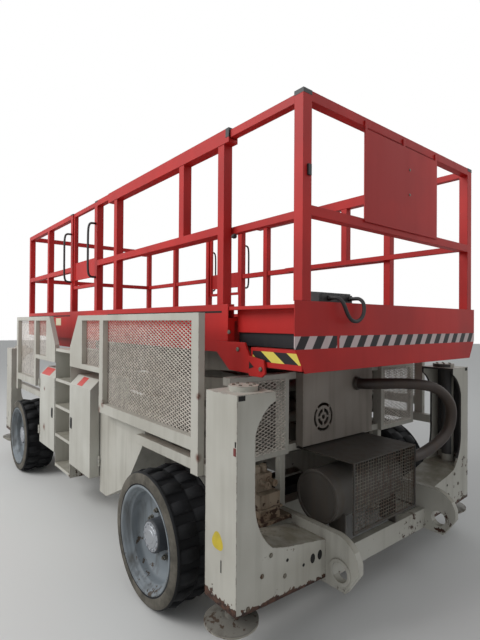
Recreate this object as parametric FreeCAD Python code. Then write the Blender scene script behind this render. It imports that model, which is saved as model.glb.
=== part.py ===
"""Rough-terrain scissor lift: four-wheeled chassis, stabiliser columns, four-stage scissor stack and
a railed platform with a roll-out extension.

Frame: +X runs to the rear (engine and muffler end), -Y is the left side, +Z is up. The origin is on the
ground below the centre of the whole machine. All sizes are in millimetres.
"""
import FreeCAD, Part
import math
import os

from FreeCAD import Vector

os.makedirs("parts", exist_ok=True)

# Overall layout
HALF_LENGTH = 2583.0        # centre to the nose of a towing lug
WHEEL_X_REAR = 1600.0       # fixed axle
WHEEL_X_FRONT = -1420.0     # steered axle
FIT = 0.3                   # gap between pieces that seat on each other
MOVE = 5.0                  # gap between pieces that pass each other
RUN = 0.05                  # radial clearance of a shaft in its bore

# Wheels
TYRE_RADIUS = 390.0
TYRE_WIDTH = 300.0
TYRE_CENTRE_Y = 1105.0
RIM_RADIUS = 290.0
RIM_THICKNESS = 20.0
LUG_HEIGHT = 24.0
LUGS_PER_ROW = 17
LUG_LENGTH = 150.0
LUG_THICKNESS = 62.0
LUG_ROOT = 8.0
SPINDLE_RADIUS = 40.0
HUB_RADIUS = 100.0
DISC_OFFSET = 45.0          # wheel disc outboard of the tyre's centre plane
DISC_THICKNESS = 14.0

# Axles and steering
AXLE_SECTION = 150.0
HUB_HOUSING_RADIUS = 120.0
HUB_HOUSING_END = 1000.0
SPINDLE_END = 1165.0
KINGPIN_Y = 880.0
KINGPIN_RADIUS = 25.0
KNUCKLE_RADIUS = 55.0
KNUCKLE_HEIGHT = 160.0
EAR_THICKNESS = 30.0
EAR_HALF_WIDTH = 60.0

# Chassis
RAIL_INNER_Y = 505.0
RAIL_OUTER_Y = 545.0
RAIL_BOTTOM = 232.0
RAIL_TOP = 525.0
LUG_HOLE_X = 2466.0
LUG_HOLE_Z = 332.0
LUG_HOLE_RADIUS = 50.0
BEAM_OUTER_X = 2370.0
BEAM_INNER_X = 2325.0
BEAM_BOTTOM = 240.0
BEAM_TOP = 370.0
OUTRIGGER_BOTTOM = 380.0
OUTRIGGER_TOP = 450.0
OUTRIGGER_HALF_WIDTH = 40.0

# Stabiliser columns
COLUMN_X_INNER = 2116.0
COLUMN_X_OUTER = 2366.0
COLUMN_OUTER_Y = 1173.0
COLUMN_INNER_Y = 1060.0
HOOK_TIP_Y = 927.0
COLUMN_TOP = 1315.0
COLUMN_PLATE = 15.0
ARM_SHELF_TOP = 545.0
ARM_INNER_TOP = 470.0
ARM_BOTTOM = 262.0
COLUMN_FOOT_FRONT = 290.0
COLUMN_FOOT_REAR = 212.0
JACK_Y = 1100.0
JACK_BARREL_RADIUS = 45.0
JACK_BARREL_BOTTOM = 330.0
LEG_RADIUS = 32.0
LEG_BORE_GAP = 0.5
PAD_BOTTOM = 150.0
PAD_TOP = 205.0
PAD_RADIUS = 135.0
PAD_FOOT_RADIUS = 80.0
CAP_RADIUS = 78.0
CAP_HEIGHT = 26.0
CAP_Y = 1030.0

# Scissor stack
ARM_LENGTH = 3600.0
ARM_HALF_DEPTH = 80.0
ARM_THICKNESS = 60.0
INNER_ARM_Y = 560.0
OUTER_ARM_Y = 650.0
STAGE_PITCH = 210.0
STAGES = 4
PIN_X = 1800.0
BASE_PIN_Z = 590.0
PIN_RADIUS = 38.0
CENTRE_PIN_RADIUS = 30.0
BRACE_RADIUS = 40.0
BRACE_FROM_END = 900.0
ROLLER_RADIUS = 45.0
ROLLER_WIDTH = 50.0
ROLLER_GAP = 2.0
TRACK_FLANGE = 15.0
TRACK_WEB = 10.0
TRACK_START_X = -1860.0
TRACK_END_X = -380.0
BRACKET_THICKNESS = 20.0

# Lift cylinder
CYLINDER_BASE_X = 1150.0
CYLINDER_BASE_Z = 420.0
CYLINDER_RADIUS = 65.0
ROD_RADIUS = 42.0
CYLINDER_EYE_RADIUS = 60.0
CYLINDER_EAR_DROP = 150.0
BARREL_LENGTH = 1180.0

# Side lockers, tank and ladder
MODULE_BACK_Y = 830.0
MODULE_FACE_Y = 1072.0
DOOR_FACE_Y = 1155.0
LADDER_CENTRE_X = -215.0
LADDER_HALF_WIDTH = 211.0
LOCKER_WIDTH = 496.0
LOCKER_BOTTOM = 414.0
DOOR_CHAMFER_Z = 1110.0
LOCKER_TOP = 1189.0
SHEET = 5.0
SILL_Z = 1400.0
STEP_HEIGHTS = (1118.0, 872.0, 598.0, 317.0)
STEP_DEPTH = 150.0
STEP_THICKNESS = 28.0
TANK_LENGTH = 770.0
TANK_BOTTOM = 298.0
TANK_TOP = 963.0

# Hinges
HINGE_RADIUS = 8.0
HINGE_PIN = 4.0
HINGE_LENGTH = 84.0
HINGE_HEIGHTS = (500.0, 980.0)
GATE_HINGE_HEIGHTS = (2050.0, 2640.0)

# Guard cages
GUARD_FACE_Y = 1155.0
GUARD_DEPTH = 40.0
GUARD_TOP = 1705.0
GUARD_BAR = 42.0
GUARD_POST_WIDTH = 70.0
GUARD_LOW = 968.0
GUARD_LOW_RAIL = 72.0
GUARD_SMALL_LOW = 1263.0
GUARD_REAR_END = 2017.0
GUARD_FRONT_END = 1936.0
GUARD_TAPER = 196.0
GUARD_PLATE = 295.0
GUARD_STEP = 667.0
MESH_BAR = 8.0
MESH_THICKNESS = 3.0
MESH_PITCH = 95.0
CARRIER_BOTTOM = 845.0
CARRIER_SIZE = 60.0
END_GUARD_X = 2000.0
END_GUARD_POST = 44.0

# Muffler drum
MUFFLER_X = 2222.0
MUFFLER_Z = 637.0
MUFFLER_START_Y = -450.0
MUFFLER_END_Y = 220.0
MUFFLER_RADIUS = 155.0

# Platform
PLATFORM_FRONT_X = -2450.0
PLATFORM_REAR_X = 1930.0
EXTENSION_REAR_X = 2510.0
PLATFORM_HALF_WIDTH = 895.0
FLOOR_TOP = 1680.0
FLOOR_THICKNESS = 20.0
SIDE_PANEL_BOTTOM = 1480.0
TOE_TOP = 1760.0
FRAME_BOTTOM = 1545.0
RAIL_SIZE = 50.0
POST_SIZE = 60.0
RAIL_TOP_Z = 2780.0
MID_RAIL_TOP = 2225.0
SLEEVE_HEIGHT = 80.0
SLEEVE_WIDTH = 66.0
SLEEVE_START_X = 190.0
SLIDE_RAIL = 44.0
SKIRT_BOTTOM = 1410.0
SKIRT_HALF_WIDTH = 945.0
SKIRT_CHAMFER = 95.0
GATE_LEFT_X = -740.0
GATE_RIGHT_X = -127.0


def box(x0, x1, y0, y1, z0, z1):
    """A block between two corners, given in any order."""
    low = Vector(min(x0, x1), min(y0, y1), min(z0, z1))
    high = Vector(max(x0, x1), max(y0, y1), max(z0, z1))
    size = high - low
    return Part.makeBox(size.x, size.y, size.z, low)


def rod_y(x, z, y0, y1, radius):
    """A round bar along Y."""
    return Part.makeCylinder(radius, abs(y1 - y0), Vector(x, min(y0, y1), z), Vector(0, 1, 0))


def rod_z(x, y, z0, z1, radius):
    """A round bar along Z."""
    return Part.makeCylinder(radius, z1 - z0, Vector(x, y, z0), Vector(0, 0, 1))


def outline(steps, place):
    """A closed face: each step is an end point, or an arc's middle and end point in one row of four."""
    edges = []
    first = place(*steps[0][-2:])
    here = first
    for step in steps[1:] + [steps[0][-2:]]:
        end = place(*step[-2:])
        if len(step) == 4:
            edges.append(Part.Arc(here, place(*step[:2]), end).toShape())
        elif (end - here).Length > 1e-6:
            edges.append(Part.LineSegment(here, end).toShape())
        here = end
    return Part.Face(Part.Wire(edges))


def plate_xz(steps, y0, y1):
    """A plate with an outline in X and Z, between two Y planes."""
    face = outline(steps, lambda a, b: Vector(a, y0, b))
    return face.extrude(Vector(0, y1 - y0, 0))


def plate_yz(steps, x0, x1):
    """A plate with an outline in Y and Z, between two X planes."""
    face = outline(steps, lambda a, b: Vector(x0, a, b))
    return face.extrude(Vector(x1 - x0, 0, 0))


def fuse(parts):
    """One solid from parts that share faces or volume."""
    if len(parts) == 1:
        return parts[0]
    return parts[0].multiFuse(parts[1:]).removeSplitter()


def mirror_y(shape):
    return shape.mirror(Vector(0, 0, 0), Vector(0, 1, 0))


def mirror_x(shape):
    return shape.mirror(Vector(0, 0, 0), Vector(1, 0, 0))


def both_sides(shape):
    """The right-hand shape (+Y) and its left-hand twin."""
    return [shape, mirror_y(shape)]


def save(name, shapes):
    """Write one node as STEP, from one solid or several that stand apart."""
    solids = []
    for shape in shapes if isinstance(shapes, list) else [shapes]:
        solids.extend(shape.Solids)
    shape = solids[0] if len(solids) == 1 else Part.makeCompound(solids)
    shape.exportStep("parts/" + name + ".step")


SIDES = (("left", -1), ("right", 1))
ENDS = (("rear", 1), ("front", -1))


def to_side(shape, side):
    return mirror_y(shape) if side < 0 else shape


def stage_angle():
    """Slope of a folded arm, in degrees."""
    return math.degrees(math.asin(STAGE_PITCH / ARM_LENGTH))


def slide_pin_x():
    """X of the sliding end's pins with the stack folded."""
    return PIN_X - ARM_LENGTH * math.cos(math.radians(stage_angle()))


def pin_z(level):
    """Height of the pins at a level: 0 is the chassis, STAGES is the platform."""
    return BASE_PIN_Z + level * STAGE_PITCH


def roller_track(z, bracket_top):
    """Channel that the sliding end's roller runs in, open towards the arms."""
    half = ROLLER_RADIUS + ROLLER_GAP
    y_in = OUTER_ARM_Y + ARM_THICKNESS + MOVE
    y_out = y_in + ROLLER_WIDTH + 2 * MOVE
    parts = [box(TRACK_START_X, TRACK_END_X, y_in, y_out + TRACK_WEB, z - half - TRACK_FLANGE, z - half),
             box(TRACK_START_X, TRACK_END_X, y_in, y_out + TRACK_WEB, z + half, z + half + TRACK_FLANGE),
             box(TRACK_START_X, TRACK_END_X, y_out, y_out + TRACK_WEB, z - half - TRACK_FLANGE,
                 max(z + half + TRACK_FLANGE, bracket_top))]
    return fuse(parts)


def track_outer_y():
    return OUTER_ARM_Y + ARM_THICKNESS + MOVE + ROLLER_WIDTH + 2 * MOVE + TRACK_WEB


def rail_plate():
    """One chassis side rail with a towing lug at each end, windows for the axles and pivot ears."""
    top_break = HALF_LENGTH - 163.0
    nose = [(0, RAIL_BOTTOM), (HALF_LENGTH - 183.0, RAIL_BOTTOM), (HALF_LENGTH - 83.0, RAIL_BOTTOM),
            (HALF_LENGTH, 355.0), (HALF_LENGTH, 410.0), (HALF_LENGTH - 45.0, 485.0, top_break, RAIL_TOP),
            (0, RAIL_TOP)]
    half = plate_xz(nose, RAIL_INNER_Y, RAIL_OUTER_Y)
    ear_half = ARM_HALF_DEPTH
    ear = box(PIN_X - ear_half, PIN_X + ear_half, RAIL_INNER_Y, RAIL_OUTER_Y, RAIL_TOP, BASE_PIN_Z + 60.0)
    rail = fuse([half, mirror_x(half), ear])
    window = AXLE_SECTION / 2 + FIT
    for x in (WHEEL_X_REAR, WHEEL_X_FRONT):
        rail = rail.cut(box(x - window, x + window, RAIL_INNER_Y - 1, RAIL_OUTER_Y + 1,
                            TYRE_RADIUS - window, TYRE_RADIUS + window))
    for x in (LUG_HOLE_X, -LUG_HOLE_X):
        rail = rail.cut(rod_y(x, LUG_HOLE_Z, RAIL_INNER_Y - 1, RAIL_OUTER_Y + 1, LUG_HOLE_RADIUS))
    return rail


def pivot_shelf():
    """Shelf and outer ear that carry the fixed pin of the scissor stack."""
    ear_half = ARM_HALF_DEPTH
    shelf_top = BASE_PIN_Z - ARM_HALF_DEPTH - 3 * MOVE
    ear_y = OUTER_ARM_Y - MOVE
    shelf = box(PIN_X - ear_half, PIN_X + ear_half, RAIL_OUTER_Y, ear_y, shelf_top - 25.0, shelf_top)
    ear = box(PIN_X - ear_half, PIN_X + ear_half, ear_y - BRACKET_THICKNESS, ear_y, shelf_top,
              BASE_PIN_Z + 60.0)
    pin = rod_y(PIN_X, BASE_PIN_Z, RAIL_OUTER_Y, ear_y - BRACKET_THICKNESS, PIN_RADIUS)
    return [shelf, ear, pin]


def chassis_frame():
    """Side rails, end beams, cross members, roller tracks, outriggers and the rear post frame."""
    rail = rail_plate()
    right = [rail] + pivot_shelf() + [roller_track(BASE_PIN_Z, 0.0)]
    track_bottom = BASE_PIN_Z - ROLLER_RADIUS - ROLLER_GAP - TRACK_FLANGE
    shelf_top = BASE_PIN_Z - ARM_HALF_DEPTH - 2 * MOVE
    riser_y = OUTER_ARM_Y + ARM_THICKNESS + 2 * MOVE
    for x in (-1780.0, -1120.0, -460.0):
        right.append(box(x - 40, x + 40, RAIL_OUTER_Y, track_outer_y(), shelf_top - 30.0, shelf_top))
        right.append(box(x - 40, x + 40, riser_y, track_outer_y(), shelf_top, track_bottom))
    for x in (-760.0, 170.0, 700.0):
        right.append(box(x - OUTRIGGER_HALF_WIDTH, x + OUTRIGGER_HALF_WIDTH, RAIL_OUTER_Y,
                         MODULE_BACK_Y - FIT, OUTRIGGER_BOTTOM, OUTRIGGER_TOP))
    post_y = RAIL_INNER_Y - 11.0
    post_x = END_GUARD_X - 2 * FIT
    right.append(box(post_x - 40, post_x, post_y, post_y + END_GUARD_POST, RAIL_TOP - 30.0, 1345.0))
    parts = right + [mirror_y(shape) for shape in right]
    for end in (1, -1):
        parts.append(box(end * BEAM_INNER_X, end * BEAM_OUTER_X, -RAIL_INNER_Y, RAIL_INNER_Y,
                         BEAM_BOTTOM, BEAM_TOP))
    for x, half, low, high in ((1800.0, 50.0, 260.0, 450.0), (CYLINDER_BASE_X, 60.0, 250.0, 330.0),
                               (-200.0, 40.0, 250.0, 400.0), (-1800.0, 50.0, 260.0, 450.0)):
        parts.append(box(x - half, x + half, -RAIL_INNER_Y, RAIL_INNER_Y, low, high))
    for y in (75.0, -95.0):
        parts.append(box(CYLINDER_BASE_X - 50, CYLINDER_BASE_X + 50, y, y + 20.0, 330.0,
                         CYLINDER_BASE_Z + 55.0))
    parts.append(rod_y(CYLINDER_BASE_X, CYLINDER_BASE_Z, -75.0, 75.0, CENTRE_PIN_RADIUS))
    parts.append(box(post_x - 40, post_x, -950.0, 950.0, 1300.0, 1345.0))
    parts.append(box(post_x - 40, post_x, -post_y, post_y, 850.0, 895.0))
    return fuse(parts)


def rear_axle():
    """Fixed axle beam with a reducer housing and a spindle at each end."""
    half = AXLE_SECTION / 2
    parts = [box(WHEEL_X_REAR - half, WHEEL_X_REAR + half, -MODULE_BACK_Y, MODULE_BACK_Y,
                 TYRE_RADIUS - half, TYRE_RADIUS + half)]
    for side in (1, -1):
        parts.append(rod_y(WHEEL_X_REAR, TYRE_RADIUS, side * MODULE_BACK_Y, side * HUB_HOUSING_END,
                           HUB_HOUSING_RADIUS))
        parts.append(rod_y(WHEEL_X_REAR, TYRE_RADIUS, side * HUB_HOUSING_END, side * SPINDLE_END,
                           SPINDLE_RADIUS))
    return fuse(parts)


def front_axle():
    """Steered axle beam with a yoke and a kingpin at each end."""
    x = WHEEL_X_FRONT
    half = AXLE_SECTION / 2
    wall_out = 800.0
    ear_end = KINGPIN_Y + EAR_HALF_WIDTH
    gap = KNUCKLE_HEIGHT / 2 + MOVE
    parts = [box(x - half, x + half, -wall_out + 40, wall_out - 40, TYRE_RADIUS - half, TYRE_RADIUS + half)]
    for side in (1, -1):
        parts.append(box(x - EAR_HALF_WIDTH, x + EAR_HALF_WIDTH, side * (wall_out - 40), side * wall_out,
                         TYRE_RADIUS - gap - EAR_THICKNESS, TYRE_RADIUS + gap + EAR_THICKNESS))
        for low in (TYRE_RADIUS - gap - EAR_THICKNESS, TYRE_RADIUS + gap):
            parts.append(box(x - EAR_HALF_WIDTH, x + EAR_HALF_WIDTH, side * wall_out, side * ear_end,
                             low, low + EAR_THICKNESS))
        parts.append(rod_z(x, side * KINGPIN_Y, TYRE_RADIUS - gap, TYRE_RADIUS + gap, KINGPIN_RADIUS))
    return fuse(parts)


def knuckle():
    """Right-hand steering knuckle: kingpin boss, flange and wheel spindle."""
    x = WHEEL_X_FRONT
    half = KNUCKLE_HEIGHT / 2
    boss = rod_z(x, KINGPIN_Y, TYRE_RADIUS - half, TYRE_RADIUS + half, KNUCKLE_RADIUS)
    flange = rod_y(x, TYRE_RADIUS, KINGPIN_Y + 20, HUB_HOUSING_END, AXLE_SECTION / 2)
    spindle = rod_y(x, TYRE_RADIUS, HUB_HOUSING_END, SPINDLE_END, SPINDLE_RADIUS)
    body = fuse([boss, flange, spindle])
    return body.cut(rod_z(x, KINGPIN_Y, TYRE_RADIUS - half - 1, TYRE_RADIUS + half + 1,
                          KINGPIN_RADIUS + RUN))


def revolve_y(profile, x, y, z):
    """A ring turned about the wheel's axle from (radius, offset along Y) rows."""
    face = outline(profile, lambda radius, offset: Vector(x + radius, y + offset, z))
    return face.revolve(Vector(x, y, z), Vector(0, 1, 0), 360)


def tyre(x, y):
    """Low-profile tyre body with two staggered rows of cross lugs."""
    half = TYRE_WIDTH / 2
    tread = TYRE_RADIUS - LUG_HEIGHT
    body = revolve_y([(RIM_RADIUS, -half + 14), (tread - 32, -half), (tread, -half + 30),
                      (tread, half - 30), (tread - 32, half), (RIM_RADIUS, half - 14)],
                     x, y, TYRE_RADIUS)
    return body


def tyre_lugs(x, y):
    """Cross lugs, one row at each shoulder, turned by half a pitch from each other."""
    half = TYRE_WIDTH / 2
    tread = TYRE_RADIUS - LUG_HEIGHT
    lugs = []
    for row in (0, 1):
        y0 = y - half if row else y + half - LUG_LENGTH
        for count in range(LUGS_PER_ROW):
            angle = 360.0 * (count + 0.5 * row) / LUGS_PER_ROW
            lug = box(x - LUG_THICKNESS / 2, x + LUG_THICKNESS / 2, y0, y0 + LUG_LENGTH,
                      TYRE_RADIUS + tread - LUG_ROOT, 2 * TYRE_RADIUS)
            lug.rotate(Vector(x, y, TYRE_RADIUS), Vector(0, 1, 0), angle)
            lugs.append(lug)
    return lugs


def rim(x, y, side):
    """Wheel: barrel, dished disc, hub with a blind bore for the spindle, and a hub cap."""
    barrel_half = TYRE_WIDTH / 2 - 14
    bed = RIM_RADIUS - FIT
    barrel = revolve_y([(bed - RIM_THICKNESS, -barrel_half), (bed, -barrel_half), (bed, barrel_half),
                        (bed - RIM_THICKNESS, barrel_half)], x, y, TYRE_RADIUS)
    disc = rod_y(x, TYRE_RADIUS, y + side * DISC_OFFSET, y + side * (DISC_OFFSET + DISC_THICKNESS),
                 bed - RIM_THICKNESS + 1)
    hub = rod_y(x, TYRE_RADIUS, y - side * 85.0, y + side * (DISC_OFFSET + 1), HUB_RADIUS)
    cap = rod_y(x, TYRE_RADIUS, y + side * DISC_OFFSET, y + side * 105.0, 72.0)
    wheel = fuse([barrel, disc, hub, cap])
    return wheel.cut(rod_y(x, TYRE_RADIUS, y - side * 86.0, side * (SPINDLE_END + MOVE),
                           SPINDLE_RADIUS + RUN))


def column_outline(foot):
    """The C-shaped end plate: outer edge, hook, throat and lower arm."""
    return [(COLUMN_OUTER_Y, foot), (COLUMN_OUTER_Y, COLUMN_TOP), (HOOK_TIP_Y, COLUMN_TOP),
            (HOOK_TIP_Y, COLUMN_TOP - 47.0),
            (HOOK_TIP_Y + 88.0, COLUMN_TOP - 115.0, COLUMN_INNER_Y, COLUMN_TOP - 215.0),
            (COLUMN_INNER_Y, ARM_SHELF_TOP + 255.0),
            (COLUMN_INNER_Y - 35.0, ARM_SHELF_TOP + 105.0, COLUMN_INNER_Y - 119.0, ARM_SHELF_TOP),
            (840.0, ARM_SHELF_TOP - 25.0), (RAIL_OUTER_Y + FIT, ARM_INNER_TOP),
            (RAIL_OUTER_Y + FIT, ARM_BOTTOM), (COLUMN_OUTER_Y - 160.0, foot - 10.0)]


def column():
    """Rear right stabiliser column: two C plates, outer and top plates, shelf and jack barrel."""
    x_mid = (COLUMN_X_INNER + COLUMN_X_OUTER) / 2
    body = plate_yz(column_outline(COLUMN_FOOT_FRONT), COLUMN_X_INNER, COLUMN_X_OUTER)
    skin = COLUMN_PLATE
    shaft = box(COLUMN_X_INNER + skin, COLUMN_X_OUTER - skin, HOOK_TIP_Y - 1, COLUMN_OUTER_Y - skin,
                ARM_SHELF_TOP + 20.0, COLUMN_TOP - skin)
    under = box(COLUMN_X_INNER + skin, COLUMN_X_OUTER - skin, RAIL_OUTER_Y - 1, COLUMN_OUTER_Y - skin,
                ARM_BOTTOM - 60.0, ARM_INNER_TOP - skin)
    body = body.cut(shaft).cut(under)
    barrel = rod_z(x_mid, JACK_Y, JACK_BARREL_BOTTOM, COLUMN_TOP - skin, JACK_BARREL_RADIUS)
    cap = rod_z(x_mid, CAP_Y, COLUMN_TOP, COLUMN_TOP + CAP_HEIGHT, CAP_RADIUS)
    body = fuse([body, barrel, cap])
    bore = rod_z(x_mid, JACK_Y, ARM_BOTTOM, COLUMN_TOP - 2 * skin, LEG_RADIUS + LEG_BORE_GAP)
    return body.cut(bore)


def leg():
    """Rear right stabiliser leg: rod with a dished pad."""
    x_mid = (COLUMN_X_INNER + COLUMN_X_OUTER) / 2
    shaft = rod_z(x_mid, JACK_Y, PAD_TOP, COLUMN_TOP - 100.0, LEG_RADIUS)
    face = outline([(0, PAD_BOTTOM), (PAD_FOOT_RADIUS, PAD_BOTTOM), (PAD_RADIUS, PAD_TOP - 12.0),
                    (PAD_RADIUS, PAD_TOP), (PAD_FOOT_RADIUS * 0.6, PAD_TOP + 15.0), (0, PAD_TOP + 15.0)],
                   lambda radius, z: Vector(x_mid + radius, JACK_Y, z))
    pad = face.revolve(Vector(x_mid, JACK_Y, 0), Vector(0, 0, 1), 360)
    return fuse([shaft, pad])


def arm_bar(y0, length):
    """One arm lying along +X from its first pin, with rounded ends."""
    depth = ARM_HALF_DEPTH
    edges = [(0, -depth), (length, -depth), (length + depth, 0, length, depth), (0, depth),
             (-depth, 0, 0, -depth)]
    return plate_xz(edges, y0, y0 + ARM_THICKNESS)


def place_arm(shape, level, outer):
    """Turn a bar into the stack: outer arms rise to the rear, inner arms rise to the front."""
    if outer:
        shape.rotate(Vector(0, 0, 0), Vector(0, 1, 0), -stage_angle())
        shape.translate(Vector(slide_pin_x(), 0, pin_z(level)))
    else:
        shape.rotate(Vector(0, 0, 0), Vector(0, 1, 0), 180.0 + stage_angle())
        shape.translate(Vector(PIN_X, 0, pin_z(level)))
    return shape


def outer_arms(level):
    """Outer pair of one stage, joined by a cross tube at each end."""
    y1 = OUTER_ARM_Y + ARM_THICKNESS
    bar = arm_bar(OUTER_ARM_Y, ARM_LENGTH)
    bar = bar.cut(rod_y(ARM_LENGTH / 2, 0, OUTER_ARM_Y - 1, y1 + 1, CENTRE_PIN_RADIUS + RUN))
    front_end = y1
    rear_end = y1
    parts = both_sides(bar)
    if level == 0:
        front_end = y1 + 3.0
        for side in (1, -1):
            start = side * (y1 + MOVE + 3.0)
            parts.append(rod_y(0, 0, side * y1, start, PIN_RADIUS))
            parts.append(rod_y(0, 0, start, start + side * ROLLER_WIDTH, ROLLER_RADIUS))
    if level == STAGES - 1:
        rear_end = y1 + 2 * MOVE + BRACKET_THICKNESS + MOVE
    parts.append(rod_y(0, 0, -front_end, front_end, PIN_RADIUS))
    parts.append(rod_y(ARM_LENGTH, 0, -rear_end, rear_end, PIN_RADIUS))
    return place_arm(fuse(parts), level, True)


def inner_arms(level):
    """Inner pair of one stage, joined by two braces and carrying the centre pins."""
    y1 = INNER_ARM_Y + ARM_THICKNESS
    bar = arm_bar(INNER_ARM_Y, ARM_LENGTH)
    bar = bar.cut(rod_y(0, 0, INNER_ARM_Y - 1, y1 + 1, PIN_RADIUS + RUN))
    if level < STAGES - 1:
        bar = bar.cut(rod_y(ARM_LENGTH, 0, INNER_ARM_Y - 1, y1 + 1, PIN_RADIUS + RUN))
    pin = rod_y(ARM_LENGTH / 2, 0, y1, OUTER_ARM_Y + ARM_THICKNESS, CENTRE_PIN_RADIUS)
    parts = both_sides(bar) + both_sides(pin)
    for x in (BRACE_FROM_END, ARM_LENGTH - BRACE_FROM_END):
        parts.append(rod_y(x, 0, -INNER_ARM_Y, INNER_ARM_Y, BRACE_RADIUS))
    if level == STAGES - 1:
        roller_y = OUTER_ARM_Y + ARM_THICKNESS + MOVE + 3.0
        for side in (1, -1):
            parts.append(rod_y(ARM_LENGTH, 0, side * y1, side * roller_y, PIN_RADIUS))
            parts.append(rod_y(ARM_LENGTH, 0, side * roller_y, side * (roller_y + ROLLER_WIDTH),
                               ROLLER_RADIUS))
    if level == 0:
        # Ears on the front brace, where the lift cylinder's eye pushes. Raised, they hang below it.
        x = ARM_LENGTH - BRACE_FROM_END
        for y in (62.0, -82.0):
            parts.append(box(x - 35, x + 35, y, y + 20.0, 0, CYLINDER_EAR_DROP + 40.0))
    return place_arm(fuse(parts), level, False)


def cylinder_eye():
    """Where the rod's eye stands with the stack folded, on the brace's ears."""
    slope = math.radians(stage_angle())
    reach = ARM_LENGTH - BRACE_FROM_END
    return Vector(PIN_X - reach * math.cos(slope) - CYLINDER_EAR_DROP * math.sin(slope), 0,
                  BASE_PIN_Z + reach * math.sin(slope) - CYLINDER_EAR_DROP * math.cos(slope))


def cylinder_frame():
    """Angle in degrees about -Y and length of the cylinder's centre line at rest."""
    eye = cylinder_eye()
    dx = eye.x - CYLINDER_BASE_X
    dz = eye.z - CYLINDER_BASE_Z
    return math.degrees(math.atan2(dz, dx)), math.hypot(dx, dz)


def along_cylinder(shape):
    """Place a piece that was drawn from the base pin along +X."""
    angle = cylinder_frame()[0]
    shape.rotate(Vector(0, 0, 0), Vector(0, 1, 0), -angle)
    shape.translate(Vector(CYLINDER_BASE_X, 0, CYLINDER_BASE_Z))
    return shape


def bar_x(x0, x1, radius):
    return Part.makeCylinder(radius, x1 - x0, Vector(x0, 0, 0), Vector(1, 0, 0))


def cylinder_barrel():
    eye = rod_y(0, 0, -60.0, 60.0, CYLINDER_EYE_RADIUS)
    body = fuse([eye, bar_x(30.0, BARREL_LENGTH, CYLINDER_RADIUS)])
    body = body.cut(rod_y(0, 0, -70.0, 70.0, CENTRE_PIN_RADIUS + RUN))
    return along_cylinder(body.cut(bar_x(110.0, BARREL_LENGTH + 1, ROD_RADIUS + 0.5)))


def cylinder_rod():
    length = cylinder_frame()[1]
    eye = rod_y(length, 0, -50.0, 50.0, 52.0)
    eye = eye.cut(rod_y(length, 0, -51.0, 51.0, CENTRE_PIN_RADIUS))
    rod = bar_x(130.0, length - 45.0, ROD_RADIUS)
    return along_cylinder(fuse([rod, eye]))


def locker(x0):
    """Sheet locker, open at the front where the box-shaped door closes it."""
    x1 = x0 + LOCKER_WIDTH
    shell = box(x0, x1, MODULE_BACK_Y, MODULE_FACE_Y, LOCKER_BOTTOM, LOCKER_TOP)
    inside = box(x0 + SHEET, x1 - SHEET, MODULE_BACK_Y + SHEET, MODULE_FACE_Y + 1, LOCKER_BOTTOM + SHEET,
                 LOCKER_TOP - SHEET)
    return shell.cut(inside)


def hinge(x, y, z, fixed, moving):
    """Three-knuckle hinge about Z: returns the frame's half with its pin and the leaf's bored half."""
    third = HINGE_LENGTH / 3
    ends = [rod_z(x, y, z, z + third - FIT, HINGE_RADIUS),
            rod_z(x, y, z + 2 * third + FIT, z + HINGE_LENGTH, HINGE_RADIUS)]
    frame = ends + [rod_z(x, y, z, z + HINGE_LENGTH, HINGE_PIN)]
    for low, high in ((z, z + third - FIT), (z + 2 * third + FIT, z + HINGE_LENGTH)):
        frame.append(box(*fixed, low, high).cut(rod_z(x, y, low, high, HINGE_PIN)))
    leaf = fuse([rod_z(x, y, z + third, z + 2 * third, HINGE_RADIUS),
                 box(*moving, z + third, z + 2 * third)])
    return frame, leaf.cut(rod_z(x, y, z, z + HINGE_LENGTH, HINGE_PIN + RUN))


def door_hinges(end):
    """Hinges of the right side's front or rear locker door: frame halves and door halves."""
    front_x, rear_x = locker_starts()
    halves = []
    for z in HINGE_HEIGHTS:
        if end > 0:
            x = rear_x + LOCKER_WIDTH + MOVE
            y = MODULE_FACE_Y + MOVE + HINGE_RADIUS
            fixed = (x - 3.0, x + 3.0, MODULE_FACE_Y, y)
            moving = (x - 2 * MOVE, x, y - 3.0, y + 3.0)
        else:
            x = front_x + MOVE / 2
            y = DOOR_FACE_Y + HINGE_RADIUS
            fixed = (front_x - SHEET, front_x, DOOR_FACE_Y, DOOR_FACE_Y + HINGE_RADIUS)
            moving = (front_x + MOVE, front_x + 6 * MOVE, DOOR_FACE_Y, DOOR_FACE_Y + 3.0)
        halves.append(hinge(x, y, z, fixed, moving))
    return halves


def locker_starts():
    """X where the front and the rear locker start, either side of the ladder."""
    return (LADDER_CENTRE_X - LADDER_HALF_WIDTH - LOCKER_WIDTH, LADDER_CENTRE_X + LADDER_HALF_WIDTH)


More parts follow.
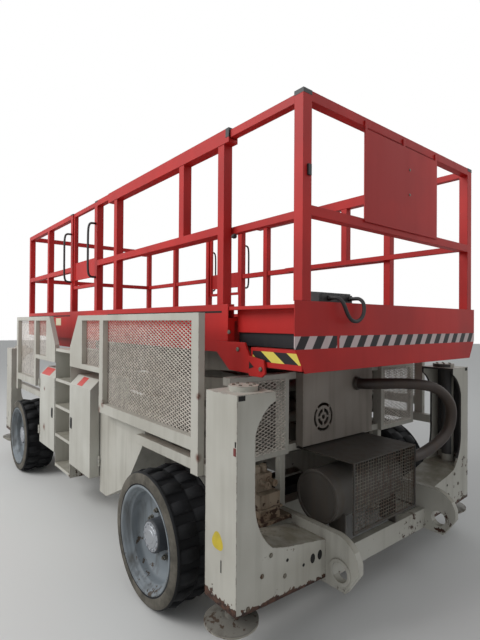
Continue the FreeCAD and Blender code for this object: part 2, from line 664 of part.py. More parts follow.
def side_module():
    """Right side module: two lockers, tank, ladder recess with steps, and the guard carriers."""
    front_x, rear_x = locker_starts()
    parts = [locker(front_x), locker(rear_x)]
    lad0 = LADDER_CENTRE_X - LADDER_HALF_WIDTH
    lad1 = LADDER_CENTRE_X + LADDER_HALF_WIDTH
    step_y0 = DOOR_FACE_Y - STEP_DEPTH - 8.0
    side_y1 = DOOR_FACE_Y - 8.0
    for x in (lad0 - 1, lad1 - SHEET + 1):
        parts.append(box(x, x + SHEET, MODULE_BACK_Y + 60, side_y1, 280.0, SILL_Z))
    parts.append(box(lad0, lad1, MODULE_BACK_Y + 60, MODULE_BACK_Y + 60 + SHEET, 280.0, SILL_Z))
    for z in STEP_HEIGHTS:
        parts.append(box(lad0, lad1, step_y0, side_y1, z - STEP_THICKNESS, z))
    parts.append(box(lad0, lad1, MODULE_BACK_Y + 60, side_y1, SILL_Z - STEP_THICKNESS, SILL_Z))
    tank_x = rear_x + LOCKER_WIDTH
    tank = plate_xz([(tank_x, TANK_BOTTOM), (tank_x + 133.0, TANK_BOTTOM),
                     (tank_x + 467.0, TANK_BOTTOM + 161.0), (tank_x + TANK_LENGTH, TANK_TOP - 97.0),
                     (tank_x + TANK_LENGTH, TANK_TOP), (tank_x, TANK_TOP)], MODULE_BACK_Y, MODULE_FACE_Y)
    parts.append(tank)
    low = CARRIER_BOTTOM
    high = low + CARRIER_SIZE
    y_out = GUARD_FACE_Y - GUARD_DEPTH - FIT
    y_in = y_out - CARRIER_SIZE
    parts.append(box(tank_x + TANK_LENGTH - 40, COLUMN_X_INNER - FIT, y_in, y_out, low, high))
    parts.append(box(-COLUMN_X_INNER + FIT, front_x, y_in, y_out, low, high))
    parts.append(box(front_x - SHEET, front_x, MODULE_FACE_Y - 20, DOOR_FACE_Y, LOCKER_BOTTOM,
                     DOOR_CHAMFER_Z))
    for end in (1, -1):
        for frame, leaf in door_hinges(end):
            parts += frame
    return fuse(parts)


def locker_door(end):
    """Box-shaped door cover with a chamfered top and its hinge leaves."""
    x0 = locker_starts()[1 if end > 0 else 0]
    x1 = x0 + LOCKER_WIDTH - MOVE
    x0 = x0 + MOVE
    y0 = MODULE_FACE_Y + MOVE
    y1 = DOOR_FACE_Y
    side = [(y0, LOCKER_BOTTOM), (y1, LOCKER_BOTTOM), (y1, DOOR_CHAMFER_Z), (y0, LOCKER_TOP)]
    shell = plate_yz(side, x0, x1)
    inner = [(y0 - 1, LOCKER_BOTTOM + SHEET), (y1 - SHEET, LOCKER_BOTTOM + SHEET),
             (y1 - SHEET, DOOR_CHAMFER_Z - 3.0), (y0 - 1, LOCKER_TOP - 8.0)]
    shell = shell.cut(plate_yz(inner, x0 + SHEET, x1 - SHEET))
    return fuse([shell] + [leaf for frame, leaf in door_hinges(end)])


def guard_frames():
    """Right side guard frames: rear cage, front cage and the end guard beside the engine cover."""
    y0 = GUARD_FACE_Y - GUARD_DEPTH
    y1 = GUARD_FACE_Y
    post = GUARD_POST_WIDTH
    top = GUARD_TOP
    frames = []
    for end, far in ((1, GUARD_REAR_END), (-1, GUARD_FRONT_END)):
        near = end * LADDER_CENTRE_X + LADDER_HALF_WIDTH + 1 + FIT
        step = near + GUARD_STEP
        outer = [(near, GUARD_SMALL_LOW), (near, GUARD_SMALL_LOW + 170.0), (near + GUARD_TAPER, top),
                 (far, top), (far, CARRIER_BOTTOM), (far - post, CARRIER_BOTTOM),
                 (far - post, GUARD_LOW), (step, GUARD_LOW), (step, GUARD_SMALL_LOW)]
        frame = plate_xz(outer, y0, y1)
        frame = frame.cut(box(near + GUARD_PLATE, step, y0 - 1, y1 + 1, GUARD_SMALL_LOW + GUARD_BAR,
                              top - GUARD_BAR))
        frame = frame.cut(box(step + post, far - post, y0 - 1, y1 + 1, GUARD_LOW + GUARD_LOW_RAIL,
                              top - GUARD_BAR))
        frames.append(frame if end > 0 else mirror_x(frame))
    x0 = END_GUARD_X - FIT
    y_post = RAIL_INNER_Y - 11.0 + END_GUARD_POST
    bars = [box(x0, x0 + 30, y_post, 950.0, 850.0, 895.0), box(x0, x0 + 30, y_post, 950.0, 1300.0, 1345.0),
            box(x0, x0 + 30, 906.0, 950.0, 850.0, 1345.0), box(x0, x0 + 30, y_post - 44.0, y_post, 850.0, 1345.0)]
    frames.append(fuse(bars))
    return frames


def lattice(u0, u1, v0, v1, place):
    """Two layers of crossing diagonal bars that fill a window; place(box corners) sets the plane."""
    bars = []
    for layer, slope in ((0, 1.0), (1, -1.0)):
        width = u1 - u0
        height = v1 - v0
        reach = width + height
        count = int(reach / MESH_PITCH)
        for index in range(1, count):
            start = index * reach / count
            a0 = max(0.0, start - height)
            a1 = min(width, start)
            b0 = start - a0
            b1 = start - a1
            if a1 - a0 < 30.0:
                continue
            if slope > 0:
                b0, b1 = height - b0, height - b1
            bars.append(place(layer, u0 + a0, v0 + b0, u0 + a1, v0 + b1))
    return bars


def mesh_bar_y(base_y, outward):
    """A maker of diagonal bars in planes of constant Y."""
    def make(layer, a0, b0, a1, b1):
        low = base_y + outward * (FIT + layer * (MESH_THICKNESS + FIT))
        length = math.hypot(a1 - a0, b1 - b0)
        bar = box(0, length, low, low + outward * MESH_THICKNESS, -MESH_BAR / 2, MESH_BAR / 2)
        bar.rotate(Vector(0, 0, 0), Vector(0, 1, 0), -math.degrees(math.atan2(b1 - b0, a1 - a0)))
        bar.translate(Vector(a0, 0, b0))
        return bar
    return make


def mesh_bar_x(base_x, outward):
    """A maker of diagonal bars in planes of constant X."""
    def make(layer, a0, b0, a1, b1):
        low = base_x + outward * (FIT + layer * (MESH_THICKNESS + FIT))
        length = math.hypot(a1 - a0, b1 - b0)
        bar = box(low, low + outward * MESH_THICKNESS, 0, length, -MESH_BAR / 2, MESH_BAR / 2)
        bar.rotate(Vector(0, 0, 0), Vector(1, 0, 0), math.degrees(math.atan2(b1 - b0, a1 - a0)))
        bar.translate(Vector(0, a0, b0))
        return bar
    return make


def guard_mesh(end):
    """Right side mesh of one cage: crossing bars behind the frame's two windows."""
    y0 = GUARD_FACE_Y - GUARD_DEPTH
    lap = 12.0
    post = GUARD_POST_WIDTH
    top = GUARD_TOP - GUARD_BAR + lap
    far = GUARD_REAR_END if end > 0 else GUARD_FRONT_END
    near = end * LADDER_CENTRE_X + LADDER_HALF_WIDTH
    step = near + GUARD_STEP
    make = mesh_bar_y(y0, -1)
    bars = lattice(near + GUARD_PLATE - lap, step + lap, GUARD_SMALL_LOW + GUARD_BAR - lap, top, make)
    bars += lattice(step + post - lap, far - post + lap, GUARD_LOW + GUARD_LOW_RAIL - lap, top, make)
    return [bar if end > 0 else mirror_x(bar) for bar in bars]


def end_mesh():
    """Right side mesh beside the engine cover."""
    lap = 12.0
    y_post = RAIL_INNER_Y - 11.0 + END_GUARD_POST
    return lattice(y_post - lap, 906.0 + lap, 895.0 - lap, 1300.0 + lap, mesh_bar_x(END_GUARD_X + 30, 1))


def engine_cover():
    """Shallow cover over the engine's fan, with a round slotted vent."""
    x0 = END_GUARD_X - FIT
    x1 = 2060.0
    body = box(x0, x1, -400.0, 330.0, 880.0, 1340.0)
    body = body.cut(box(x0 - 1, x1 - 6, -394.0, 324.0, 886.0, 1334.0))
    vent_y = -205.0
    vent_z = 1045.0
    slots = []
    for outer, inner, spokes, turn in ((92.0, 74.0, 4, 45.0), (54.0, 32.0, 4, 90.0)):
        ring = Part.makeCylinder(outer, 30, Vector(x1 - 20, vent_y, vent_z), Vector(1, 0, 0))
        ring = ring.cut(Part.makeCylinder(inner, 30, Vector(x1 - 20, vent_y, vent_z), Vector(1, 0, 0)))
        for spoke in range(spokes):
            bar = box(x1 - 21, x1 + 11, vent_y - 7, vent_y + 7, vent_z, vent_z + outer + 5)
            bar.rotate(Vector(0, vent_y, vent_z), Vector(1, 0, 0), turn + 360.0 * spoke / spokes)
            ring = ring.cut(bar)
        slots.append(ring)
    slots.append(Part.makeCylinder(15.0, 30, Vector(x1 - 20, vent_y, vent_z), Vector(1, 0, 0)))
    for slot in slots:
        body = body.cut(slot)
    return body


def muffler():
    """Drum across the rear end, on two saddles that stand on the end beam."""
    parts = [rod_y(MUFFLER_X, MUFFLER_Z, MUFFLER_START_Y, MUFFLER_END_Y, MUFFLER_RADIUS)]
    for y in (MUFFLER_START_Y + 70.0, MUFFLER_END_Y - 82.0):
        parts.append(box(MUFFLER_X + 30, BEAM_OUTER_X, y, y + 12.0, BEAM_TOP + FIT, MUFFLER_Z - 80))
    return fuse(parts)


def muffler_guard():
    """Sheet top with an open frame at the end and the right side, over the muffler drum."""
    x0 = END_GUARD_X - FIT
    x1 = 2440.0
    y0 = -395.0
    y1 = 262.0
    low = 470.0
    high = 870.0
    parts = [box(x0, x1, y0, y1, high - 6, high), box(x1 - 6, x1, y0, y0 + 14, low, high),
             box(x1 - 6, x1, y1 - 14, y1, low, high), box(x1 - 6, x1, y0, y1, low, low + 14),
             box(2066.0, x1, y1 - 6, y1, low, low + 14), box(2066.0, 2080.0, y1 - 6, y1, low, high),
             box(x1 - 14, x1, y1 - 6, y1, low, high)]
    return fuse(parts)


def platform_deck():
    """Main platform: floor, side panels with toe boards, under-frame, pivot brackets and tracks."""
    half = PLATFORM_HALF_WIDTH
    x0 = PLATFORM_FRONT_X
    x1 = PLATFORM_REAR_X
    parts = [box(x0, x1, -half + 45, half - 45, FLOOR_TOP - FLOOR_THICKNESS, FLOOR_TOP)]
    for side in (1, -1):
        parts.append(box(x0, x1, side * (half - 6), side * half, SIDE_PANEL_BOTTOM, 1722.0))
        parts.append(box(x0, x1, side * (half - 46), side * half, 1722.0, TOE_TOP))
        parts.append(box(x0, x1, side * (half - 50), side * (half - 6), FRAME_BOTTOM, FLOOR_TOP))
        parts.append(box(x0, x1, side * (half - 46), side * (half - 40), FLOOR_TOP, 1722.0))
    parts.append(box(x0, x0 + 6, -half, half, SIDE_PANEL_BOTTOM, TOE_TOP))
    for x in (PIN_X, 900.0, 0.0, -900.0, -1800.0, x0 + 46.0):
        parts.append(box(x - 40, x + 40, -half + 46, half - 46, FRAME_BOTTOM, FLOOR_TOP - FLOOR_THICKNESS))
    bracket_y = OUTER_ARM_Y + ARM_THICKNESS + 2 * MOVE
    pin_top = pin_z(STAGES)
    for side in (1, -1):
        plate = box(PIN_X - 60, PIN_X + 60, side * bracket_y, side * (bracket_y + BRACKET_THICKNESS),
                    pin_top - 60, FRAME_BOTTOM)
        parts.append(plate.cut(rod_y(PIN_X, pin_top, side * (bracket_y - 1),
                                     side * (bracket_y + BRACKET_THICKNESS + 1), PIN_RADIUS + RUN)))
        track = roller_track(pin_top, FRAME_BOTTOM)
        parts.append(to_side(track, side))
    return fuse(parts)


def post(x, y_sign, z0, z1, size=POST_SIZE):
    outer = y_sign * PLATFORM_HALF_WIDTH
    return box(x, x + size, outer, outer - y_sign * size, z0, z1)


def main_guardrail():
    """Posts and rails of the main platform, with the sleeve rail that holds the extension's rail."""
    parts = []
    half = PLATFORM_HALF_WIDTH
    x0 = PLATFORM_FRONT_X
    sleeve_low = RAIL_TOP_Z - SLEEVE_HEIGHT
    for side in (1, -1):
        for x, low, high in ((x0, TOE_TOP, RAIL_TOP_Z), (-1630.0, TOE_TOP, RAIL_TOP_Z),
                             (GATE_LEFT_X - POST_SIZE, TOE_TOP, RAIL_TOP_Z),
                             (GATE_RIGHT_X, TOE_TOP, RAIL_TOP_Z), (310.0, TOE_TOP, sleeve_low + 1),
                             (1379.0, MID_RAIL_TOP - 1, sleeve_low + 1), (1823.0, TOE_TOP, sleeve_low + 1)):
            parts.append(post(x, side, low, high))
        outer = side * half
        inner = side * (half - RAIL_SIZE)
        low = RAIL_TOP_Z - RAIL_SIZE
        parts.append(box(x0, GATE_LEFT_X, outer, inner, low, RAIL_TOP_Z))
        parts.append(box(GATE_RIGHT_X, SLEEVE_START_X, outer, inner, low, RAIL_TOP_Z))
        mid = MID_RAIL_TOP - RAIL_SIZE
        parts.append(box(x0, GATE_LEFT_X, outer, inner, mid, MID_RAIL_TOP))
        parts.append(box(GATE_RIGHT_X, 1883.0, outer, inner, mid, MID_RAIL_TOP))
        wide = SLEEVE_WIDTH / 2
        centre = side * (half - 30.0)
        sleeve = box(SLEEVE_START_X, PLATFORM_REAR_X, centre - wide, centre + wide, sleeve_low, RAIL_TOP_Z + 3)
        bore = SLIDE_RAIL / 2 + MOVE
        z_mid = RAIL_TOP_Z - 31.0
        parts.append(sleeve.cut(box(SLEEVE_START_X + 10, PLATFORM_REAR_X + 1, centre - bore, centre + bore,
                                    z_mid - bore, z_mid + bore)))
    for z in (RAIL_TOP_Z, MID_RAIL_TOP):
        parts.append(box(x0, x0 + RAIL_SIZE, -half, half, z - RAIL_SIZE, z))
    for frame, leaf in gate_hinges():
        parts += frame + [mirror_y(shape) for shape in frame]
    return fuse(parts)


def gate_hinges():
    """Hinges of the right-hand gate, on the inner side of its rear post."""
    x = GATE_RIGHT_X - HINGE_RADIUS - FIT
    y = PLATFORM_HALF_WIDTH - 10.0 - 30.0 - HINGE_RADIUS
    fixed = (x, GATE_RIGHT_X, y - 3.0, y + 3.0)
    moving = (x - 25.0, x, y + HINGE_RADIUS - 3.0, y + HINGE_RADIUS)
    return [hinge(x, y, z, fixed, moving) for z in GATE_HINGE_HEIGHTS]


def gate():
    """Right-hand entry gate between its two posts."""
    x0 = GATE_LEFT_X + MOVE
    x1 = GATE_RIGHT_X - MOVE
    outer = PLATFORM_HALF_WIDTH - 10.0
    inner = outer - 30.0
    parts = [box(x0, x1, outer, inner, RAIL_TOP_Z - 40, RAIL_TOP_Z),
             box(x0, x0 + 30, outer, inner, 1990.0, RAIL_TOP_Z),
             box(x1 - 30, x1, outer, inner, 1990.0, RAIL_TOP_Z),
             box(x0, x1, outer, inner, 1990.0, 2020.0),
             box(x0, x1, outer - 8, outer - 14, 2080.0, 2260.0)]
    return fuse(parts + [leaf for frame, leaf in gate_hinges()])


def extension_deck():
    """Roll-out extension: thin floor, folded side lips, skirt plate and lower beams."""
    x1 = EXTENSION_REAR_X
    lip_x = PLATFORM_REAR_X + MOVE
    parts = [box(420.0, x1 - 6, -790.0, 790.0, FLOOR_TOP + FIT, FLOOR_TOP + 8)]
    wide = SKIRT_HALF_WIDTH
    cut = SKIRT_CHAMFER
    skirt = plate_yz([(-wide, SKIRT_BOTTOM + 125), (-wide + cut * 0.75, SKIRT_BOTTOM),
                      (wide - cut * 0.75, SKIRT_BOTTOM), (wide, SKIRT_BOTTOM + 125), (wide, TOE_TOP),
                      (-wide, TOE_TOP)], x1 - 6, x1)
    parts.append(skirt)
    for side in (1, -1):
        parts.append(box(lip_x, x1 - 6, side * 780.0, side * 890.0, 1725.0, 1745.0))
        parts.append(box(lip_x, x1 - 6, side * 822.0, side * 828.0, 1597.0, 1725.0))
        parts.append(box(2130.0, x1 - 6, side * 845.0, side * 890.0, 1420.0, 1520.0))
        parts.append(box(lip_x, x1 - 6, side * 780.0, side * 790.0, FLOOR_TOP + FIT, 1725.0))
    return fuse(parts)


def extension_guardrail():
    """Rails of the extension: corner posts, end rails and the side rails that slide in the sleeves."""
    half = PLATFORM_HALF_WIDTH
    x1 = EXTENSION_REAR_X
    parts = []
    for z in (RAIL_TOP_Z, MID_RAIL_TOP):
        parts.append(box(x1 - RAIL_SIZE, x1, -half, half, z - RAIL_SIZE, z))
    for side in (1, -1):
        centre = side * (half - 30.0)
        wide = SLIDE_RAIL / 2
        z_mid = RAIL_TOP_Z - 31.0
        parts.append(box(SLEEVE_START_X + 60, x1, centre - wide, centre + wide, z_mid - wide, z_mid + wide))
        parts.append(box(x1 - POST_SIZE, x1, side * half, side * (half - POST_SIZE), TOE_TOP + FIT, RAIL_TOP_Z))
        inner = side * (half - POST_SIZE - MOVE)
        parts.append(box(700.0, x1 - POST_SIZE + 1, inner, inner - side * 40.0, MID_RAIL_TOP - 45,
                         MID_RAIL_TOP - 5))
        parts.append(box(x1 - POST_SIZE, x1, inner, inner - side * 40.0, MID_RAIL_TOP - 45, MID_RAIL_TOP - 5))
        parts.append(box(x1 - POST_SIZE, x1, inner, inner + side * MOVE, MID_RAIL_TOP - 45, MID_RAIL_TOP - 5))
    return fuse(parts)


def document_panel():
    """Sheet panel hung on the rear rails."""
    x0 = EXTENSION_REAR_X + FIT
    return box(x0, x0 + 8, -413.0, 373.0, 2208.0, 2715.0)


for name, shape in (("chassis_frame", chassis_frame()), ("rear_axle", rear_axle()),
                    ("front_axle", front_axle()), ("engine_cover", engine_cover()),
                    ("muffler", muffler()), ("muffler_guard", muffler_guard()),
                    ("platform_deck", platform_deck()), ("main_guardrail", main_guardrail()),
                    ("extension_deck", extension_deck()), ("extension_guardrail", extension_guardrail()),
                    ("document_panel", document_panel()), ("lift_cylinder_barrel", cylinder_barrel()),
                    ("lift_cylinder_rod", cylinder_rod())):
    save(name, shape)

for side_name, side in SIDES:
    save("side_module_" + side_name, to_side(side_module(), side))
    save("guard_frames_" + side_name, [to_side(frame, side) for frame in guard_frames()])
    save("end_mesh_" + side_name, [to_side(bar, side) for bar in end_mesh()])
    save("gate_" + side_name, to_side(gate(), side))
    save("knuckle_" + side_name, to_side(knuckle(), side))
    for end_name, end in ENDS:
        save("guard_mesh_%s_%s" % (end_name, side_name), [to_side(bar, side) for bar in guard_mesh(end)])
        corner = "%s_%s" % (end_name, side_name)
        save("locker_door_" + corner, to_side(locker_door(end), side))
        for piece, shape in (("column_", column()), ("leg_", leg())):
            shape = to_side(shape, side)
            save(piece + corner, mirror_x(shape) if end < 0 else shape)
        wheel_x = WHEEL_X_REAR if end > 0 else WHEEL_X_FRONT
        wheel_y = side * TYRE_CENTRE_Y
        save("tyre_" + corner, fuse([tyre(wheel_x, wheel_y)] + tyre_lugs(wheel_x, wheel_y)))
        save("wheel_" + corner, rim(wheel_x, wheel_y, side))

for level in range(STAGES):
    save("outer_arms_%d" % (level + 1), outer_arms(level))
    save("inner_arms_%d" % (level + 1), inner_arms(level))
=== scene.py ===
"""Looks of a rough-terrain scissor lift: weathered enamel on steel, rubber tyres and safety stripes.

Frame: metres, +X to the rear (engine end), -Y the left side, +Z up, origin on the ground. Profiles of
turned shapes are in millimetres. The right side mirrors the left, except where a comment says otherwise.
"""
import math

import bmesh
import bpy
import numpy as np
from mathutils import Matrix, Vector


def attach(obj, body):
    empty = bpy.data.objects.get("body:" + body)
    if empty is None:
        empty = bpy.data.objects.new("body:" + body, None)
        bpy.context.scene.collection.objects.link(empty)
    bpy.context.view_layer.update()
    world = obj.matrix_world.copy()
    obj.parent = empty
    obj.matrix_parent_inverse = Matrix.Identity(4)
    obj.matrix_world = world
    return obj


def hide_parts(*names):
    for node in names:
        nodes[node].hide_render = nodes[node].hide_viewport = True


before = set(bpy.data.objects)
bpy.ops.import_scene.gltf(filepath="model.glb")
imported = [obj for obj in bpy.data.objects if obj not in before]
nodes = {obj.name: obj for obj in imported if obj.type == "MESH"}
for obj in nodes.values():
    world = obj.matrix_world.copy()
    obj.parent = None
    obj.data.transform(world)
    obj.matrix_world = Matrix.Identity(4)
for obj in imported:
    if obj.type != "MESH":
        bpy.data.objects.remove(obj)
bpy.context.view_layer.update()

SIDES = (("left", -1.0), ("right", 1.0))
ENDS = (("rear", 1.0), ("front", -1.0))


# Camera

CAMERA_PLACE = (3.96, -2.455, 1.65)
CAMERA_YAW = math.radians(39.1)      # from -X towards +Y
CAMERA_PITCH = math.radians(0.41)
CAMERA_ROLL = math.radians(0.38)
FOCAL_PIXELS = 443.8
FRAME_PIXELS = 640.0                 # the photograph's height
SENSOR_MM = 36.0


def set_camera():
    """Camera at the photograph's place: forward, right and up axes from yaw, pitch and roll."""
    yaw, pitch, roll = CAMERA_YAW, CAMERA_PITCH, CAMERA_ROLL
    ahead = Vector((-math.cos(yaw) * math.cos(pitch), math.sin(yaw) * math.cos(pitch), math.sin(pitch)))
    right = Vector((math.sin(yaw), math.cos(yaw), 0.0))
    up = right.cross(ahead)
    turned_right = right * math.cos(roll) + up * math.sin(roll)
    turned_up = up * math.cos(roll) - right * math.sin(roll)
    data = bpy.data.cameras.new("camera")
    data.sensor_width = SENSOR_MM
    data.sensor_fit = "AUTO"
    data.lens = SENSOR_MM * FOCAL_PIXELS / FRAME_PIXELS
    data.clip_end = 200.0
    camera = bpy.data.objects.new("camera", data)
    turn = Matrix((turned_right, turned_up, -ahead)).transposed()
    camera.matrix_world = Matrix.Translation(CAMERA_PLACE) @ turn.to_4x4()
    bpy.context.scene.collection.objects.link(camera)
    bpy.context.scene.camera = camera


set_camera()


# Control cable

CABLE_ROUTE = ((2.488, -0.640, 1.784), (2.505, -0.640, 1.785), (2.523, -0.637, 1.780),
               (2.541, -0.632, 1.763), (2.550, -0.626, 1.739), (2.553, -0.614, 1.711),
               (2.553, -0.595, 1.685), (2.552, -0.568, 1.667), (2.552, -0.536, 1.661),
               (2.552, -0.505, 1.668), (2.553, -0.479, 1.688), (2.552, -0.464, 1.716),
               (2.549, -0.460, 1.746), (2.540, -0.461, 1.770), (2.522, -0.464, 1.784),
               (2.505, -0.468, 1.786), (2.488, -0.470, 1.785))
CABLE_DIAMETER = 0.020


def control_cable():
    """Cable looped from one gland of the control box to the other, as one open NURBS spline."""
    curve = bpy.data.curves.new("control_lead", "CURVE")
    curve.dimensions = "3D"
    curve.bevel_depth = 1.0          # times each point's radius
    curve.bevel_resolution = 3
    curve.resolution_u = 8
    curve.use_fill_caps = True
    spline = curve.splines.new("NURBS")
    spline.points.add(len(CABLE_ROUTE) - 1)
    for point, place in zip(spline.points, CABLE_ROUTE):
        point.co = (*place, 1.0)
        point.radius = CABLE_DIAMETER / 2.0
    spline.order_u = 3
    spline.use_endpoint_u = True
    piece = bpy.data.objects.new("control_lead", curve)
    bpy.context.scene.collection.objects.link(piece)
    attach(piece, "extension")
    return piece


cable = control_cable()


# Material tools

MATH, NOISE, RAMP, MIX = "ShaderNodeMath", "ShaderNodeTexNoise", "ShaderNodeValToRGB", "ShaderNodeMix"
RANGE, VECTOR, BEVEL = "ShaderNodeMapRange", "ShaderNodeVectorMath", "ShaderNodeBevel"
PLACE, AXES = "ShaderNodeTexCoord", "ShaderNodeSeparateXYZ"
SHADER, BACKGROUND = "ShaderNodeBsdfPrincipled", "ShaderNodeBackground"


def linear(value):
    """A colour written as sRGB hex, as linear red, green, blue and alpha."""
    parts = [int(value[i:i + 2], 16) / 255.0 for i in (1, 3, 5)]
    return [p / 12.92 if p <= 0.04045 else ((p + 0.055) / 1.055) ** 2.4 for p in parts] + [1.0]


def add(tree, kind, inputs=None, stops=(), **settings):
    """Adds one node with its settings and links.

    An input is a number, a hex colour, a socket, or a node, whose first output in use is then linked. Stops
    are a ramp's (position, hex colour or grey) rows. A Mix node's inputs are 0, the amount, 6, the colour
    below, and 7, the colour on top.
    """
    node = tree.nodes.new(kind)
    for name, value in settings.items():
        setattr(node, name, value)
    for name, value in (inputs or {}).items():
        if isinstance(value, bpy.types.Node):
            value = next(socket for socket in value.outputs if socket.enabled)
        if isinstance(value, bpy.types.NodeSocket):
            tree.links.new(value, node.inputs[name])
        else:
            node.inputs[name].default_value = linear(value) if isinstance(value, str) else value
    if stops:
        points = node.color_ramp.elements
        while len(points) < len(stops):
            points.new(0.5)
        for point, (place, colour) in zip(points, stops):
            point.position = place
            point.color = linear(colour) if isinstance(colour, str) else (colour, colour, colour, 1.0)
    return node


def new_material(name):
    """An empty material and its node tree."""
    material = bpy.data.materials.new(name)
    material.use_nodes = True
    tree = material.node_tree
    tree.nodes.clear()
    return material, tree


def finish_material(tree, base, roughness, relief, bump_mm, metallic=0.0, gloss=0.5, edge_mm=0.0):
    """Principled shader over a bump of so many millimetres, with edges that look rounded by edge_mm."""
    bump = {"Height": relief, "Distance": bump_mm / 1000.0, "Strength": 1.0}
    if edge_mm:
        bump["Normal"] = add(tree, BEVEL, {"Radius": edge_mm / 1000.0}, samples=4)
    surface = {"Base Color": base, "Roughness": roughness, "Metallic": metallic, "Specular IOR Level": gloss,
               "Normal": add(tree, "ShaderNodeBump", bump)}
    shader = add(tree, SHADER, surface)
    add(tree, "ShaderNodeOutputMaterial", {"Surface": shader})


# Enamel on steel

# Cells of noise per metre
FADE_CELLS = 2.2                    # fading, 0.45 m
STREAK_CELLS = (16.0, 16.0, 1.3)    # rain streaks, 60 mm wide and 0.8 m long
CHIP_CELLS = 26.0                   # chips, up to 38 mm
CLUSTER_CELLS = 3.1                 # groups of chips, 0.3 m
MOSS_CELLS = 11.0                   # patches of green dirt, 90 mm
TEETH_CELLS = 48.0                  # ragged edge of rust, 20 mm

LOW, HIGH = 0.2, 1.7                # heights between which dirt and chips grow fewer
MOSS_TOP = 1.2                      # no green dirt settles above this height
COLUMN_SHEET_Y = 1.171              # outer sheet of the columns, where the rust climbs higher
RUST_LINE, RUST_SLOPE = 0.2015, 0.0446    # its height at the middle plane, and its rise per metre out


def settled_moss(tree, place, z, flat, amount):
    """How much green dirt lies on faces that look up, in patches of 90 mm."""
    facing = add(tree, AXES, {"Vector": flat}).outputs["Z"]
    upward = add(tree, MATH, {0: facing, 1: 0.6}, operation="GREATER_THAN")
    low = add(tree, MATH, {0: z, 1: MOSS_TOP}, operation="LESS_THAN")
    lying = add(tree, MATH, {0: upward, 1: low}, operation="MULTIPLY")
    lying = add(tree, MATH, {0: lying, 1: amount}, operation="MULTIPLY")
    patches = add(tree, NOISE, {"Vector": place, "Scale": MOSS_CELLS, "Detail": 6.0})
    patches = add(tree, RAMP, {"Fac": patches}, stops=((0.3, 0.45), (0.6, 1.0)))
    return add(tree, MATH, {0: lying, 1: patches}, operation="MULTIPLY")


def rubbed_edges(tree, flat, spots, radius, amount):
    """Bare metal where the rounded normal turns away from the flat one, broken up by the chips' noise."""
    bevel = add(tree, BEVEL, {"Radius": radius}, samples=4)
    turn = add(tree, VECTOR, {0: bevel, 1: flat}, operation="DOT_PRODUCT")
    edge = add(tree, RANGE, {"Value": turn, "From Min": 0.99, "From Max": 0.8, "To Min": 0.0, "To Max": 1.0})
    torn = add(tree, RAMP, {"Fac": spots}, stops=((0.47, 0.0), (0.56, 1.0)))
    edge = add(tree, MATH, {0: edge, 1: torn}, operation="MULTIPLY")
    return add(tree, MATH, {0: edge, 1: amount}, operation="MULTIPLY")


def weld_stains(tree, place, spots, stains):
    """Rust that bleeds round welds: the nearest one counts, from its middle out to its radius."""
    mirrored = add(tree, VECTOR, {0: place}, operation="ABSOLUTE")
    bleeding = 0.0
    for *weld, radius in stains:
        far = add(tree, VECTOR, {0: mirrored, 1: weld}, operation="DISTANCE")
        near = add(tree, RANGE, {"Value": far, "From Min": radius, "From Max": 0.0})
        bleeding = add(tree, MATH, {0: bleeding, 1: near}, operation="MAXIMUM")
    spread = add(tree, RAMP, {"Fac": spots}, stops=((0.35, 0.1), (0.62, 1.6)))
    return add(tree, MATH, {0: bleeding, 1: spread}, operation="MULTIPLY")


def column_rust(tree, parts, spots, teeth):
    """1 below a ragged rust line, at line + slope * |y|, and 20 mm more on the columns' outer sheet."""
    out = add(tree, MATH, {0: parts["Y"]}, operation="ABSOLUTE")
    line = add(tree, MATH, {0: out, 1: RUST_SLOPE, 2: RUST_LINE}, operation="MULTIPLY_ADD")
    sheet = add(tree, MATH, {0: out, 1: COLUMN_SHEET_Y}, operation="GREATER_THAN")
    line = add(tree, MATH, {0: sheet, 1: 0.02, 2: line}, operation="MULTIPLY_ADD")
    line = add(tree, MATH, {0: spots, 1: 0.05, 2: line}, operation="MULTIPLY_ADD")
    line = add(tree, MATH, {0: teeth, 1: 0.06, 2: line}, operation="MULTIPLY_ADD")
    return add(tree, MATH, {0: parts["Z"], 1: line}, operation="LESS_THAN")


def painted_inner_shade(tree, parts, flat):
    """How much painted shade darkens the columns' faces that look in at the leg, above its foot."""
    facing = add(tree, AXES, {"Vector": flat}).outputs["Y"]
    side = add(tree, MATH, {0: parts["Y"]}, operation="SIGN")
    outward = add(tree, MATH, {0: facing, 1: side}, operation="MULTIPLY")
    inner = add(tree, MATH, {0: outward, 1: -0.4}, operation="LESS_THAN")
    above = add(tree, MATH, {0: parts["Z"], 1: 0.62}, operation="GREATER_THAN")
    inner_shade = add(tree, MATH, {0: inner, 1: above}, operation="MULTIPLY")
    return add(tree, MATH, {0: inner_shade, 1: 0.9}, operation="MULTIPLY")


